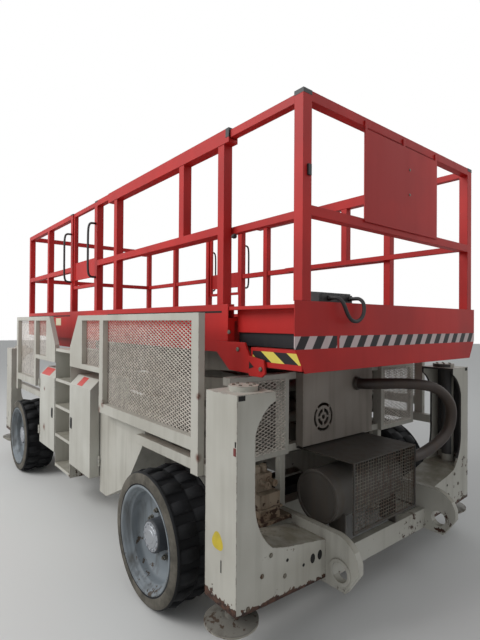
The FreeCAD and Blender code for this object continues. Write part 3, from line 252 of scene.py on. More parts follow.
def worn_enamel(name, paint, shade, chip="#3d271d", chips=0.5, dirt="#5d5245", dirt_amount=0.5,
                marks=None, rusty_foot_and_inner_shade=False, stains=(), moss=0.0, edge_radius=0.005):
    """Enamel sprayed on steel, out in the weather for years.

    Broad noise fades the paint, streaks run down with the rain, and chips of 5 to 38 mm break through to
    brown rust, more of them low down where stones hit. Edges that stick out are rubbed bare over
    edge_radius. marks(tree, parts, colour) paints stripes on the fresh enamel. stains are (x, distance from
    the middle plane, z, radius) rows where rust runs from a weld. moss is how much green dirt settles on low
    faces that look up. rusty_foot_and_inner_shade is for the columns, which stand in the wet; it also paints
    shade, near black, on their faces that look in at the leg.
    """
    material, tree = new_material(name)
    place = add(tree, PLACE).outputs["Object"]
    parts = add(tree, AXES, {"Vector": place}).outputs
    fade = add(tree, NOISE, {"Vector": place, "Scale": FADE_CELLS, "Detail": 3.0})
    faded = add(tree, RAMP, {"Fac": fade}, stops=((0.35, 0.0), (0.65, 1.0)))
    colour = add(tree, MIX, {0: faded, 6: paint, 7: shade}, data_type="RGBA")
    if marks is not None:
        colour = marks(tree, parts, colour)

    stretched = add(tree, "ShaderNodeMapping", {"Vector": place, "Scale": STREAK_CELLS})
    streak = add(tree, NOISE, {"Vector": stretched, "Scale": 1.0, "Detail": 4.0})
    streak = add(tree, RAMP, {"Fac": streak}, stops=((0.5, 0.0), (0.8, 1.0)))
    low = add(tree, RANGE, {"Value": parts["Z"], "From Min": LOW, "From Max": HIGH, "To Min": 1.0,
                            "To Max": 0.25})
    grime = add(tree, MATH, {0: streak, 1: low}, operation="MULTIPLY")
    grime = add(tree, MATH, {0: grime, 1: dirt_amount}, operation="MULTIPLY")
    colour = add(tree, MIX, {0: grime, 6: colour, 7: dirt}, data_type="RGBA")

    spots = add(tree, NOISE, {"Vector": place, "Scale": CHIP_CELLS, "Detail": 6.0, "Roughness": 0.62})
    clusters = add(tree, NOISE, {"Vector": place, "Scale": CLUSTER_CELLS, "Detail": 2.0})
    total = add(tree, MATH, {0: spots, 1: clusters}, operation="ADD")
    total = add(tree, MATH, {0: total, 1: low}, operation="ADD")
    total = add(tree, MATH, {0: total, 1: 0.46}, operation="MULTIPLY")
    limit = 1.0 - chips * 0.12
    flaw = add(tree, RAMP, {"Fac": total}, stops=((limit, 0.0), (limit + 0.02, 1.0)))

    flat = add(tree, "ShaderNodeNewGeometry").outputs["Normal"]
    if moss:
        lying = settled_moss(tree, place, parts["Z"], flat, moss)
        colour = add(tree, MIX, {0: lying, 6: colour, 7: "#6f6a59"}, data_type="RGBA")
        clear = add(tree, MATH, {0: 1.0, 1: lying}, operation="SUBTRACT")
        flaw = add(tree, MATH, {0: flaw, 1: clear}, operation="MULTIPLY")
    edge = rubbed_edges(tree, flat, spots, edge_radius, min(1.0, 0.4 + chips))
    flaw = add(tree, MATH, {0: flaw, 1: edge}, operation="MAXIMUM")

    rust = chip
    if rusty_foot_and_inner_shade:
        teeth = add(tree, NOISE, {"Vector": place, "Scale": TEETH_CELLS, "Detail": 3.0})
        foot = column_rust(tree, parts, spots, teeth)
        flaw = add(tree, MATH, {0: flaw, 1: foot}, operation="MAXIMUM")
        rust = add(tree, RAMP, {"Fac": teeth}, stops=((0.38, "#241511"), (0.66, "#553a2d")))
        # Painted shade: the faces that look in at the leg go near black, for the shade inside the column.
        inner_shade = painted_inner_shade(tree, parts, flat)
        colour = add(tree, MIX, {0: inner_shade, 6: colour, 7: "#232329"}, data_type="RGBA")
    if stains:
        bleeding = weld_stains(tree, place, spots, stains)
        colour = add(tree, MIX, {0: bleeding, 6: colour, 7: "#6b4436"}, data_type="RGBA")
    colour = add(tree, MIX, {0: flaw, 6: colour, 7: rust}, data_type="RGBA")

    rough = add(tree, RANGE, {"Value": grime, "From Min": 0.0, "From Max": 0.6, "To Min": 0.5, "To Max": 0.8})
    relief = add(tree, MATH, {0: fade, 1: flaw}, operation="SUBTRACT")
    finish_material(tree, colour, rough, relief, 0.25, gloss=0.3, edge_mm=4.0)
    return material


def slanting_stripes(tree, along, z, slant, pitch, dark_share, pale):
    """Tape: dark where the fraction of (distance along + slant * height) / pitch is under the dark share."""
    slanted = add(tree, MATH, {0: z, 1: slant, 2: along}, operation="MULTIPLY_ADD")
    counted = add(tree, MATH, {0: slanted, 1: pitch}, operation="DIVIDE")
    phase = add(tree, MATH, {0: counted}, operation="FRACT")
    dark = add(tree, MATH, {0: phase, 1: dark_share}, operation="LESS_THAN")
    return add(tree, MIX, {0: dark, 6: pale, 7: "#1a181b"}, data_type="RGBA")


def hazard_stripes(tree, parts, colour):
    """Pale and black tape on the skirt, 63 mm high, and yellow and black tape on the lower beams.

    A Compare node is 1 where its first value lies within the third of the second.
    """
    x, y, z = parts["X"], parts["Y"], parts["Z"]
    tape = slanting_stripes(tree, y, z, -0.62, 0.118, 0.52, "#c4b3b2")
    band = add(tree, MATH, {0: z, 1: 1.5575, 2: 0.0315}, operation="COMPARE")
    skirt = add(tree, MATH, {0: x, 1: 2.5035}, operation="GREATER_THAN")
    there = add(tree, MATH, {0: band, 1: skirt}, operation="MULTIPLY")
    gap = add(tree, MATH, {0: y, 1: -0.625, 2: 0.009}, operation="COMPARE")
    gap = add(tree, MATH, {0: there, 1: gap}, operation="MULTIPLY")
    there = add(tree, MATH, {0: there, 1: gap}, operation="SUBTRACT")
    colour = add(tree, MIX, {0: there, 6: colour, 7: tape}, data_type="RGBA")

    tape = slanting_stripes(tree, x, z, 1.5, 0.19, 0.5, "#d9c95a")
    band = add(tree, MATH, {0: z, 1: 1.4755, 2: 0.0275}, operation="COMPARE")
    beam = add(tree, MATH, {0: x, 1: 2.3225, 2: 0.1775}, operation="COMPARE")
    out = add(tree, MATH, {0: y}, operation="ABSOLUTE")
    out = add(tree, MATH, {0: out, 1: 0.8895}, operation="GREATER_THAN")
    there = add(tree, MATH, {0: band, 1: beam}, operation="MULTIPLY")
    there = add(tree, MATH, {0: there, 1: out}, operation="MULTIPLY")
    return add(tree, MIX, {0: there, 6: colour, 7: tape}, data_type="RGBA")


def greased_tube(tree, parts, colour):
    """Grey greased steel on the leg's tube, above the painted foot."""
    tube = add(tree, MATH, {0: parts["Z"], 1: 0.2}, operation="GREATER_THAN")
    return add(tree, MIX, {0: tube, 6: colour, 7: "#77746d"}, data_type="RGBA")


# Rows of (fresh paint, faded paint)
CREAM = ("#b9b7ae", "#a9a69c")
RED = ("#bb211d", "#a41b19")
RED_WEAR = {"chip": "#3c1512", "chips": 0.3, "dirt": "#6f2420", "dirt_amount": 0.3}
CAGE_WELDS = ((2.017, 1.155, 1.266, 0.026), (2.017, 1.155, 0.942, 0.03), (0.668, 1.155, 0.985, 0.04),
              (0.734, 1.15, 1.04, 0.035))
HINGE_WELDS = ((0.766, 1.154, 0.592, 0.05), (0.762, 1.154, 0.977, 0.03))

# Cream enamel, sprayed: chalky after years outdoors, so it shines softly and mirrors nothing.
cream = worn_enamel("enamel_cream_sprayed_on_steel", *CREAM, chips=0.35, dirt_amount=0.4, moss=0.55)
cream_door = worn_enamel("enamel_cream_on_folded_door", "#bdbcb4", "#afada4", chips=0.3, dirt_amount=0.2,
                         stains=HINGE_WELDS)
# Column plate: rusty at the foot, with painted shade near black on the faces that look in at the leg.
cream_column = worn_enamel("enamel_cream_on_column_plate", *CREAM, chip="#33201a", chips=0.3,
                           dirt_amount=0.3, rusty_foot_and_inner_shade=True, moss=0.85, edge_radius=0.011)
cream_frame = worn_enamel("enamel_cream_on_cage_tube", *CREAM, chips=0.4, dirt_amount=0.3,
                          stains=CAGE_WELDS)
# Expanded metal: a lighter cream than the cage's own paint, painted light so the strands show bright.
cream_mesh_painted_light = worn_enamel("enamel_cream_on_expanded_steel_painted_light", "#ded7cd", "#cbc3b7", chips=0.3,
                         dirt_amount=0.3)
# Scissor arms and lift barrel: a dark grey-brown cream with dark streaks, painted shade for the space under
# the deck.
cream_arms_painted_shade = worn_enamel("enamel_cream_on_scissor_tube_painted_shade", "#858178", "#6e6a61", chips=0.5, dirt="#38342e",
                         dirt_amount=1.0, moss=0.6)
cream_cover = worn_enamel("enamel_cream_on_engine_cover", "#9b938a", "#877f76", chips=0.4, dirt="#4c4640",
                          dirt_amount=0.7, moss=0.5)
cream_block = worn_enamel("enamel_cream_on_rusty_casting", "#a89f90", "#83705c", chip="#3c2a20", chips=0.9,
                          dirt="#4d3c2c", dirt_amount=0.9, moss=0.5)
foot_cream = worn_enamel("enamel_cream_on_stabiliser_foot", "#a9a59a", "#8f8a7f", chip="#4a3d33",
                         chips=0.35, dirt="#4a443b", dirt_amount=0.8, marks=greased_tube)
# Red enamel, sprayed: even and strong in colour, its chips dark rather than rusty.
red = worn_enamel("enamel_red_sprayed_on_steel", *RED, **RED_WEAR)
red_stripes = worn_enamel("enamel_red_with_hazard_tape", *RED, marks=hazard_stripes, **RED_WEAR)
# Black, blue and grey enamel on castings and wheels: dirt fills the rough skin and makes it matt.
axle_black = worn_enamel("enamel_black_on_cast_iron", "#24262a", "#1a1b1d", chip="#3a2c22", chips=0.6,
                         dirt="#4a443b", dirt_amount=0.8)
# Wheels: the pale blue paint drawn darker and greyer, painted shade.
wheel_blue_painted_shade = worn_enamel("enamel_pale_blue_on_pressed_steel_painted_shade", "#7f868b", "#646b70", chip="#40372f",
                         chips=0.08, dirt="#45423d", dirt_amount=1.0)
hub_grey = worn_enamel("enamel_dark_grey_on_cast_hub", "#4a4d52", "#3a3c40", chip="#5b5147", chips=0.2,
                       dirt="#4b4843", dirt_amount=0.8)
# Heat paint and paint on thin sheet and wire: burnt or rubbed dry, with rust through it.
drum_dark = worn_enamel("heat_paint_on_muffler_steel", "#55514c", "#45413d", chip="#4b2f20", chips=0.6,
                        dirt="#54493d", dirt_amount=0.7)
pipe_brown = worn_enamel("heat_paint_on_exhaust_tube", "#433a35", "#332c29", chip="#5a3a28", chips=0.7,
                         dirt="#5c4c3d", dirt_amount=0.7)
guard_grey = worn_enamel("enamel_dark_grey_on_sheet", "#3f3d39", "#33312e", chip="#5a3a26", chips=0.4,
                         dirt="#5c5244", dirt_amount=0.7)
wire_grey = worn_enamel("enamel_grey_on_welded_wire", "#857f75", "#6d675d", chip="#5a3a26", chips=0.6,
                        dirt="#5c5244", dirt_amount=0.7)


# Rubber, bare steel and plastic

# Cells of noise per metre
DUST_CELLS = 9.0                # dust on rubber, 110 mm
RUBBER_CELLS = 160.0            # grain of rubber, drawn at 6 mm so that it shows
BLOOM_CELLS = 14.0              # rust blooms, 70 mm
PLASTIC_CELLS = 900.0           # grain of plastic, drawn at 1 mm so that it shows
PLASTIC_DUST_CELLS = 12.0       # dust on plastic, 80 mm

AXLE_MIDDLE_X, AXLE_HALF_BASE, AXLE_HEIGHT = 0.09, 1.51, 0.39
SIDE_WALL_Y = 1.236


def rubber_of_tyres():
    """Filled solid rubber, moulded: near black, with dust in patches and a ring of dried mud.

    The side wall is where the distance from the middle plane passes the shoulder. The mud lies on it where
    the distance from the wheel's axis, square root of (along^2 + up^2), is from about 0.312 to 0.371 m.
    """
    material, tree = new_material("rubber_moulded_tyre")
    place = add(tree, PLACE).outputs["Object"]
    parts = add(tree, AXES, {"Vector": place}).outputs
    dust = add(tree, NOISE, {"Vector": place, "Scale": DUST_CELLS, "Detail": 8.0, "Roughness": 0.65})
    colour = add(tree, RAMP, {"Fac": dust}, stops=((0.4, "#0c0d0f"), (0.64, "#16171a"), (0.82, "#3b3833")))
    mud = add(tree, RAMP, {"Fac": dust}, stops=((0.3, "#38362f"), (0.6, "#68635a")))
    out = add(tree, MATH, {0: parts["Y"]}, operation="ABSOLUTE")
    wall = add(tree, MATH, {0: out, 1: SIDE_WALL_Y}, operation="GREATER_THAN")
    along = add(tree, MATH, {0: parts["X"], 1: AXLE_MIDDLE_X}, operation="SUBTRACT")
    along = add(tree, MATH, {0: along}, operation="ABSOLUTE")
    along = add(tree, MATH, {0: along, 1: AXLE_HALF_BASE}, operation="SUBTRACT")
    up = add(tree, MATH, {0: parts["Z"], 1: AXLE_HEIGHT}, operation="SUBTRACT")
    squares = add(tree, MATH, {0: up, 1: up}, operation="MULTIPLY")
    squares = add(tree, MATH, {0: along, 1: along, 2: squares}, operation="MULTIPLY_ADD")
    radius = add(tree, MATH, {0: squares}, operation="SQRT")
    radius = add(tree, MATH, {0: dust, 1: 0.012, 2: radius}, operation="MULTIPLY_ADD")
    muddy = add(tree, MATH, {0: radius, 1: 0.3475, 2: 0.0295}, operation="COMPARE")
    muddy = add(tree, MATH, {0: wall, 1: muddy}, operation="MULTIPLY")
    muddy = add(tree, MATH, {0: muddy, 1: 0.85}, operation="MULTIPLY")
    colour = add(tree, MIX, {0: muddy, 6: colour, 7: mud}, data_type="RGBA")
    grain = add(tree, NOISE, {"Vector": place, "Scale": RUBBER_CELLS, "Detail": 4.0})
    finish_material(tree, colour, 0.78, grain, 0.6, gloss=0.3)
    return material


def bare_steel(name, colour, rough, rust):
    """Steel, ground or plated and greased; rust blooms of 70 mm where the grease has gone."""
    material, tree = new_material(name)
    place = add(tree, PLACE).outputs["Object"]
    bloom = add(tree, NOISE, {"Vector": place, "Scale": BLOOM_CELLS, "Detail": 6.0})
    spots = add(tree, RAMP, {"Fac": bloom}, stops=((0.72 - rust * 0.3, 0.0), (0.8 - rust * 0.2, 1.0)))
    base = add(tree, MIX, {0: spots, 6: colour, 7: "#5b4232"}, data_type="RGBA")
    roughness = add(tree, RANGE, {"Value": spots, "To Min": rough, "To Max": 0.8})
    finish_material(tree, base, roughness, bloom, 0.2, metallic=0.85)
    return material


def moulded_plastic(name, colour, dust_colour="#55524c", rough=0.5):
    """Moulded or extruded plastic with a fine spark-eroded grain and a little dust."""
    material, tree = new_material(name)
    place = add(tree, PLACE).outputs["Object"]
    grain = add(tree, NOISE, {"Vector": place, "Scale": PLASTIC_CELLS, "Detail": 2.0})
    dust = add(tree, NOISE, {"Vector": place, "Scale": PLASTIC_DUST_CELLS, "Detail": 5.0})
    dust = add(tree, RAMP, {"Fac": dust}, stops=((0.5, 0.0), (0.9, 0.5)))
    base = add(tree, MIX, {0: dust, 6: colour, 7: dust_colour}, data_type="RGBA")
    finish_material(tree, base, rough, grain, 0.05)
    return material


# Rubber and plastic take the light broadly, machined steel is grey and dull, and chrome is bright.
tyre_rubber = rubber_of_tyres()
bolt_steel = bare_steel("steel_zinc_plated_bolt", "#77736a", 0.45, 0.55)
hub_steel = bare_steel("steel_machined_hub_face", "#a6a9ae", 0.5, 0.2)
rod_chrome = bare_steel("hard_chrome_on_ground_rod", "#c9cacc", 0.16, 0.05)
plain_black = moulded_plastic("plastic_moulded_black", "#151517")
cable_rubber = moulded_plastic("rubber_extruded_cable_jacket", "#1c1c1e", rough=0.6)
hole_black = moulded_plastic("shadow_black_of_open_holes", "#0c0b0a", "#2a221b", rough=0.9)
label_yellow = moulded_plastic("vinyl_yellow_blank_label", "#c3ad2b", "#857628")
label_cream = moulded_plastic("vinyl_cream_blank_label", "#d6cfae", "#8f8772", rough=0.45)
label_red = moulded_plastic("vinyl_red_blank_label", "#c0453f", "#9a4c46")
lens_red = moulded_plastic("acrylic_red_reflector", "#6b1c1a", "#4a2a26", rough=0.3)


# A node takes the material of the last row that its name starts with, or else plain cream.
FINISHES = (("tyre_", tyre_rubber), ("wheel_", wheel_blue_painted_shade), ("leg_", foot_cream), ("column_", cream_column),
            ("locker_door", cream_door), ("guard_frames", cream_frame), ("outer_arms", cream_arms_painted_shade),
            ("inner_arms", cream_arms_painted_shade), ("lift_cylinder_rod", rod_chrome),
            ("lift_cylinder_barrel", cream_arms_painted_shade), ("muffler", drum_dark), ("muffler_guard", guard_grey),
            ("engine_cover", cream_cover), ("rear_axle", axle_black), ("front_axle", axle_black),
            ("knuckle", axle_black), ("platform_deck", red), ("main_guardrail", red), ("gate_", red),
            ("extension_guardrail", red), ("extension_deck", red_stripes), ("document_panel", red))

for name, node in nodes.items():
    chosen = cream
    for start, material in FINISHES:
        if name.startswith(start):
            chosen = material
    node.data.materials.clear()
    node.data.materials.append(chosen)
cable.data.materials.append(cable_rubber)


# Surfaces

def grid_faces(rows, columns, round_rows=False, round_columns=False):
    """Four-cornered faces of a grid of points numbered row by row, joined round where asked."""
    i, j = np.meshgrid(np.arange(rows - (not round_rows)), np.arange(columns - (not round_columns)),
                       indexing="ij")
    below, beside = (i + 1) % rows, (j + 1) % columns
    corners = (i * columns + j, i * columns + beside, below * columns + beside, below * columns + j)
    return np.stack(corners, axis=-1).reshape(-1, 4)


def repeated(faces, points_each, count):
    """The same faces once for each copy of a block of points."""
    return (faces[None] + points_each * np.arange(count)[:, None, None]).reshape(-1, 4)


def put(name, points, faces, material, body, smooth=False, closed=True):
    """A mesh object that rides on a body. A closed one has its poles welded and its faces turned out."""
    mesh = bpy.data.meshes.new(name)
    mesh.from_pydata(points.reshape(-1, 3).tolist(), [], faces.tolist())
    if closed:
        work = bmesh.new()
        work.from_mesh(mesh)
        bmesh.ops.remove_doubles(work, verts=work.verts, dist=1e-6)
        bmesh.ops.recalc_face_normals(work, faces=work.faces)
        work.to_mesh(mesh)
        work.free()
    mesh.polygons.foreach_set("use_smooth", np.full(len(mesh.polygons), smooth))
    mesh.materials.append(material)
    piece = bpy.data.objects.new(name, mesh)
    bpy.context.scene.collection.objects.link(piece)
    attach(piece, body)
    return piece


def turned(centres, axis, profile, sides):
    """Points and faces of shapes turned about an axis, one at each centre.

    A point is centre + axis * height + radius * (across * cos(angle) + up * sin(angle)), for every
    (radius, height) row of the profile in millimetres and every angle. The profile runs from pole to pole.
    """
    axis = np.asarray(axis, float)
    up = np.array((0.0, 0.0, 1.0)) if abs(axis[2]) < 0.9 else np.array((1.0, 0.0, 0.0))
    across = np.cross(up, axis)
    radius, height = np.asarray(profile, float).T / 1000.0
    angle = np.arange(sides) * 2.0 * np.pi / sides
    spoke = np.cos(angle)[:, None] * across + np.sin(angle)[:, None] * up
    shape = radius[:, None, None] * spoke[None] + height[:, None, None] * axis
    centres = np.asarray(centres, float).reshape(-1, 3)
    points = centres[:, None, None, :] + shape[None]
    faces = grid_faces(len(radius), sides, round_columns=True)
    return points.reshape(-1, 3), repeated(faces, len(radius) * sides, len(centres))


BLOCK_CORNERS = np.array([(i, j, k) for i in (0, 1) for j in (0, 1) for k in (0, 1)])
BLOCK_FACES = np.array(((0, 1, 3, 2), (4, 6, 7, 5), (0, 4, 5, 1), (2, 3, 7, 6), (0, 2, 6, 4), (1, 5, 7, 3)))


def blocks(rows):
    """Points and faces of upright blocks from (x0, x1, y0, y1, z0, z1) rows in metres."""
    rows = np.sort(np.asarray(rows, float).reshape(-1, 3, 2), axis=2)
    points = rows[:, None, :, 0] + BLOCK_CORNERS[None] * (rows[:, :, 1] - rows[:, :, 0])[:, None]
    return points.reshape(-1, 3), repeated(BLOCK_FACES, 8, len(rows))


def bars(starts, ends, width, depth):
    """Points and faces of thin straight bars: corners are the ends plus or minus two half vectors."""
    starts, ends = np.asarray(starts, float), np.asarray(ends, float)
    run = starts[:, None] + BLOCK_CORNERS[None, :, 0:1] * (ends - starts)[:, None]
    side = (BLOCK_CORNERS[:, 1:2] - 0.5) * np.asarray(width, float)
    rise = (BLOCK_CORNERS[:, 2:3] - 0.5) * np.asarray(depth, float)
    return (run + side + rise).reshape(-1, 3), repeated(BLOCK_FACES, 8, len(starts))


def smooth_line(points, steps=10):
    """A curve through points: between two of them, the Catmull-Rom cubic of the four nearest."""
    points = np.asarray(points, float)
    padded = np.vstack([2.0 * points[0] - points[1], points, 2.0 * points[-1] - points[-2]])
    a, b, c, d = padded[:-3, None], padded[1:-2, None], padded[2:-1, None], padded[3:, None]
    t = (np.arange(steps) / steps)[None, :, None]
    curve = 0.5 * (2.0 * b + (c - a) * t + (2.0 * a - 5.0 * b + 4.0 * c - d) * t ** 2
                   + (3.0 * b - a - 3.0 * c + d) * t ** 3)
    return np.vstack([curve.reshape(-1, 3), points[-1:]])


def swept(line, radius, sides, reference):
    """Points and faces of a round bar along a line, closed at its ends by poles.

    A point is line point + radius * (cos(angle) * beside + sin(angle) * over), where over is square to
    the line and the reference direction, and beside is square to both.
    """
    run = np.gradient(line, axis=0)
    over = np.cross(run, reference)
    over /= np.linalg.norm(over, axis=1)[:, None]
    beside = np.cross(over, run)
    beside /= np.linalg.norm(beside, axis=1)[:, None]
    angle = np.arange(sides)[:, None] * 2.0 * np.pi / sides
    ring = np.cos(angle) * beside[:, None] + np.sin(angle) * over[:, None]
    points = line[:, None] + radius * ring
    ends = [np.repeat(line[i][None, None], sides, axis=1) for i in (0, -1)]
    points = np.concatenate([ends[0], points, ends[1]])
    return points.reshape(-1, 3), grid_faces(len(line) + 2, sides, round_columns=True)


def prism(outline, middle, low, high):
    """Points and faces of an (x, z) outline drawn out along y, each end a fan from a middle point."""
    outline = np.asarray(outline, float)
    flat = np.stack([np.broadcast_to(middle, outline.shape), outline, outline,
                     np.broadcast_to(middle, outline.shape)])
    level = np.array((low, low, high, high))[:, None, None]
    points = np.concatenate([flat[..., :1], np.broadcast_to(level, flat[..., :1].shape), flat[..., 1:]],
                            axis=-1)
    return points.reshape(-1, 3), grid_faces(4, len(outline), round_columns=True)


def joined(shapes):
    """Several shapes as one set of points and faces."""
    counts = np.cumsum([0] + [len(points) for points, faces in shapes])
    return (np.vstack([points for points, faces in shapes]),
            np.vstack([faces + first for (points, faces), first in zip(shapes, counts)]))


# Wheels and tyres

WHEEL_X = {"rear": 1.600, "front": -1.420}
WHEEL_Y = 1.105
TYRE_RADIUS = 0.390

# Rows of (radius, millimetres outboard of the tyre's middle), from the bore's end round the back,
# over the bed, the flange and the dish to the hub's face.
RIM_PROFILE = ((0, 62), (40.5, 62), (40.5, -85), (98, -85), (100, -80), (100, 4), (150, 8), (215, 20),
               (238, 28), (244, 20), (248, -60), (258, -104), (266, -112), (272, -128), (284, -136),
               (288, -136), (289.5, -130), (289.5, 130), (293, 138), (301, 143), (304, 145), (303, 147.5),
               (297, 148.5), (289, 146), (283, 139), (280, 130), (275, 126), (270, 118), (266, 106),
               (258, 101), (255, 94), (254, 66), (250, 52), (243, 44), (228, 40), (222, 33), (205, 31),
               (150, 22), (112, 19), (86, 18), (86, 18), (0, 18))
HUB_PROFILE = ((0, 19), (98, 19), (95, 24), (95, 88), (92, 95), (87, 99), (86, 98), (60, 98), (58, 100),
               (34, 100), (33, 103.5), (0, 103.5))
HUB_FACE = ((0, 97.5), (84, 97.5), (84, 99), (63, 99.4), (61, 101.6), (40, 101.8), (36, 104.4), (0, 104.6))
HUB_BOLT = ((0, -1), (6.5, -1), (6.5, 4.5), (5.5, 5.5), (0, 5.5))
WHEEL_NUT = ((0, -2), (19, -2), (19, 4), (15, 5), (15, 20), (12, 22), (9, 22), (9, 30), (0, 30))


def ring_of(count, radius, first=0.0):
    """Places round a wheel's axis: radius * (cos, sin) of (n + first) * full turn / count, in x and z."""
    angle = (np.arange(count) + first) * 2.0 * np.pi / count
    return radius * np.column_stack([np.cos(angle), np.zeros(count), np.sin(angle)])


def fit_wheel(corner, x, side):
    """Pressed rim with flange, steps and dish, cast hub with a ring of bolts, and wheel nuts."""
    body = "wheel_" + corner
    centre = np.array((x, side * WHEEL_Y, TYRE_RADIUS))
    out = np.array((0.0, side, 0.0))
    rim = put("rim_" + corner, *turned([centre], out, RIM_PROFILE, 96), wheel_blue_painted_shade, body, smooth=True)
    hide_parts(body)
    put("hub_" + corner, *turned([centre], out, HUB_PROFILE, 64), hub_grey, body)
    heads = centre + out * 0.099 + ring_of(12, 0.073)
    put("hub_bolts_" + corner, *turned(heads, out, HUB_BOLT, 6), hub_steel, body)
    put("hub_face_" + corner, *turned([centre], out, HUB_FACE, 48), hub_steel, body)
    nuts = centre + out * 0.021 + ring_of(8, 0.132, 0.5)
    put("wheel_nuts_" + corner, *turned(nuts, out, WHEEL_NUT, 6), bolt_steel, body)


TREAD_PROFILE = ((290, 136), (297, 141.5), (304, 143), (306, 146), (312, 148), (330, 149.6), (345, 149.4),
                 (357, 147.5), (367, 143.5), (374, 138), (378, 132), (379, 126), (374, 121), (366, 117),
                 (364, 112), (364, 0))
BORE_RADIUS = 289.8
TYRE_SIDES = 102
LUGS = 19                       # in each of the two rows
LUG_ACROSS = (-1.0, -0.985, -0.94, -0.84, 0.0, 0.84, 0.94, 0.985, 1.0)
LUG_ALONG = (-1.0, -0.985, -0.93, 0.0, 0.93, 0.985, 1.0)
LUG_ROOT, LUG_RISE = 0.356, 0.034
LUG_HALF_WIDTH, LUG_HALF_LENGTH = 0.038, 0.068
ROW_Y = 0.070                   # middle of a row of lugs, from the tyre's middle


def fit_tyre(corner, x, side):
    """Moulded tyre body with rounded shoulders, and two rows of worn cross lugs.

    A lug's point is at angle = lug angle + u * half width / 0.375 and radius = root - shoulder + rise *
    (1 - |u|^14) * (1 - |v|^12), for u across and v along the lug from -1 to 1. The shoulder is 8 mm * v^4
    on the outer half.
    """
    body = "wheel_" + corner
    half = np.array(TREAD_PROFILE)
    profile = np.vstack([(BORE_RADIUS, 136), half, half[-2::-1] * (1, -1), (BORE_RADIUS, -136)]) / 1000.0
    centre = np.array((x, side * WHEEL_Y, TYRE_RADIUS))
    out = np.array((0.0, side, 0.0))
    angle = np.arange(TYRE_SIDES) * 2.0 * np.pi / TYRE_SIDES
    spoke = np.column_stack([np.sin(angle), np.zeros(TYRE_SIDES), np.cos(angle)])
    ring = centre + profile[:, None, :1] * spoke + profile[:, None, 1:] * out
    ring_faces = grid_faces(len(profile), TYRE_SIDES, True, True)

    u, v = np.meshgrid(LUG_ACROSS, LUG_ALONG, indexing="ij")
    rise = (1.0 - np.abs(u) ** 14) * (1.0 - np.abs(v) ** 12)
    shoulder = np.where(v < 0.0, 0.0, 0.008 * np.abs(v) ** 4)
    radius = LUG_ROOT - shoulder + (LUG_RISE + shoulder * 0.3) * rise
    lugs = []
    for row, outward in ((0, -1), (1, 1)):
        turn = 2.0 * np.pi * (np.arange(LUGS) + 0.5 * row) / LUGS
        theta = turn[:, None, None] + u[None] * LUG_HALF_WIDTH / 0.375
        along = side * outward * (ROW_Y + v * LUG_HALF_LENGTH)
        lug = np.stack([radius * np.sin(theta), np.broadcast_to(along, theta.shape), radius * np.cos(theta)],
                       axis=-1)
        lugs.append((centre + lug).reshape(-1, 3))
    lug_faces = repeated(grid_faces(*u.shape), u.size, 2 * LUGS)
    piece = put("tread_" + corner, np.vstack([ring.reshape(-1, 3)] + lugs),
                np.vstack([ring_faces, lug_faces + ring.size // 3]), tyre_rubber, body, smooth=True)
    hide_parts("tyre_" + corner)


for end_name, end in ENDS:
    for side_name, side in SIDES:
        fit_wheel("%s_%s" % (end_name, side_name), WHEEL_X[end_name], side)
        fit_tyre("%s_%s" % (end_name, side_name), WHEEL_X[end_name], side)


# Expanded metal in the cages

LONG_WAY, SHORT_WAY = 0.044, 0.022
STRAND_SECTION = ((-0.0031, 0.0005), (0.0024, -0.0020), (0.0031, -0.0005), (-0.0024, 0.0020))


def expanded_metal(u0, u1, v0, v1):
    """Strands of expanded metal that fill a window, as points of (along, up, depth).

    Strand n is a zigzag: up = v0 + n * 11 mm + 5.5 mm * triangle wave(along / 44 mm + n / 2), so
    neighbours meet where their waves touch. Its section is 6 mm by 1.6 mm, tilted back by 25 degrees.
    """
    rows = int((v1 - v0) / (SHORT_WAY / 2.0)) + 1
    steps = int((u1 - u0) / (LONG_WAY / 2.0)) + 1
    place = np.arange(steps)
    along = u0 + place * (u1 - u0) / (steps - 1)
    wave = np.where(place[None] + np.arange(rows)[:, None] & 1, 1.0, -1.0)
    up = v0 + np.arange(rows)[:, None] * (v1 - v0) / (rows - 1) + wave * SHORT_WAY / 4.0
    up = np.clip(up, v0, v1)
    section = np.array(STRAND_SECTION)
    points = np.empty((rows, steps, 4, 3))
    points[..., 0] = along[None, :, None]
    points[..., 1] = up[:, :, None] + section[None, None, :, 0]
    points[..., 2] = section[None, None, :, 1]
    return points.reshape(-1, 3), repeated(grid_faces(steps, 4, round_columns=True), steps * 4, rows)


CAGE_WINDOWS = {"rear": ((0.280, 0.676, 1.293, 1.675), (0.723, 1.959, 1.028, 1.675)),
                "front": ((0.710, 1.106, 1.293, 1.675), (1.153, 1.878, 1.028, 1.675))}
MESH_Y = 1.1114
END_WINDOW = (0.526, 0.918, 0.883, 1.312)
END_MESH_X = 2.0331


def cage_mesh(name, windows, body, place):
    """Expanded metal behind one or more windows; place turns (along, up, depth) into the model's axes."""
    points, faces, start = [], [], 0
    for window in windows:
        sheet, quads = expanded_metal(*window)
        points.append(place(sheet))
        faces.append(quads + start)
        start += len(sheet)
    return put(name, np.vstack(points), np.vstack(faces), cream_mesh_painted_light, body, closed=False)


for side_name, side in SIDES:
    for end_name, end in ENDS:
        sheet = cage_mesh("expanded_%s_%s" % (end_name, side_name), CAGE_WINDOWS[end_name], "chassis",
                          lambda p: np.column_stack([end * p[:, 0], side * (MESH_Y + p[:, 2]), p[:, 1]]))
        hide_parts("guard_mesh_%s_%s" % (end_name, side_name))
    sheet = cage_mesh("expanded_end_" + side_name, (END_WINDOW,), "chassis",
                      lambda p: np.column_stack([END_MESH_X + p[:, 2], side * p[:, 0], p[:, 1]]))
    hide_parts("end_mesh_" + side_name)


# Wire mesh round the muffler

WIRE_PITCH = (0.026, 0.020)
WIRE_THICKNESS = 0.0026


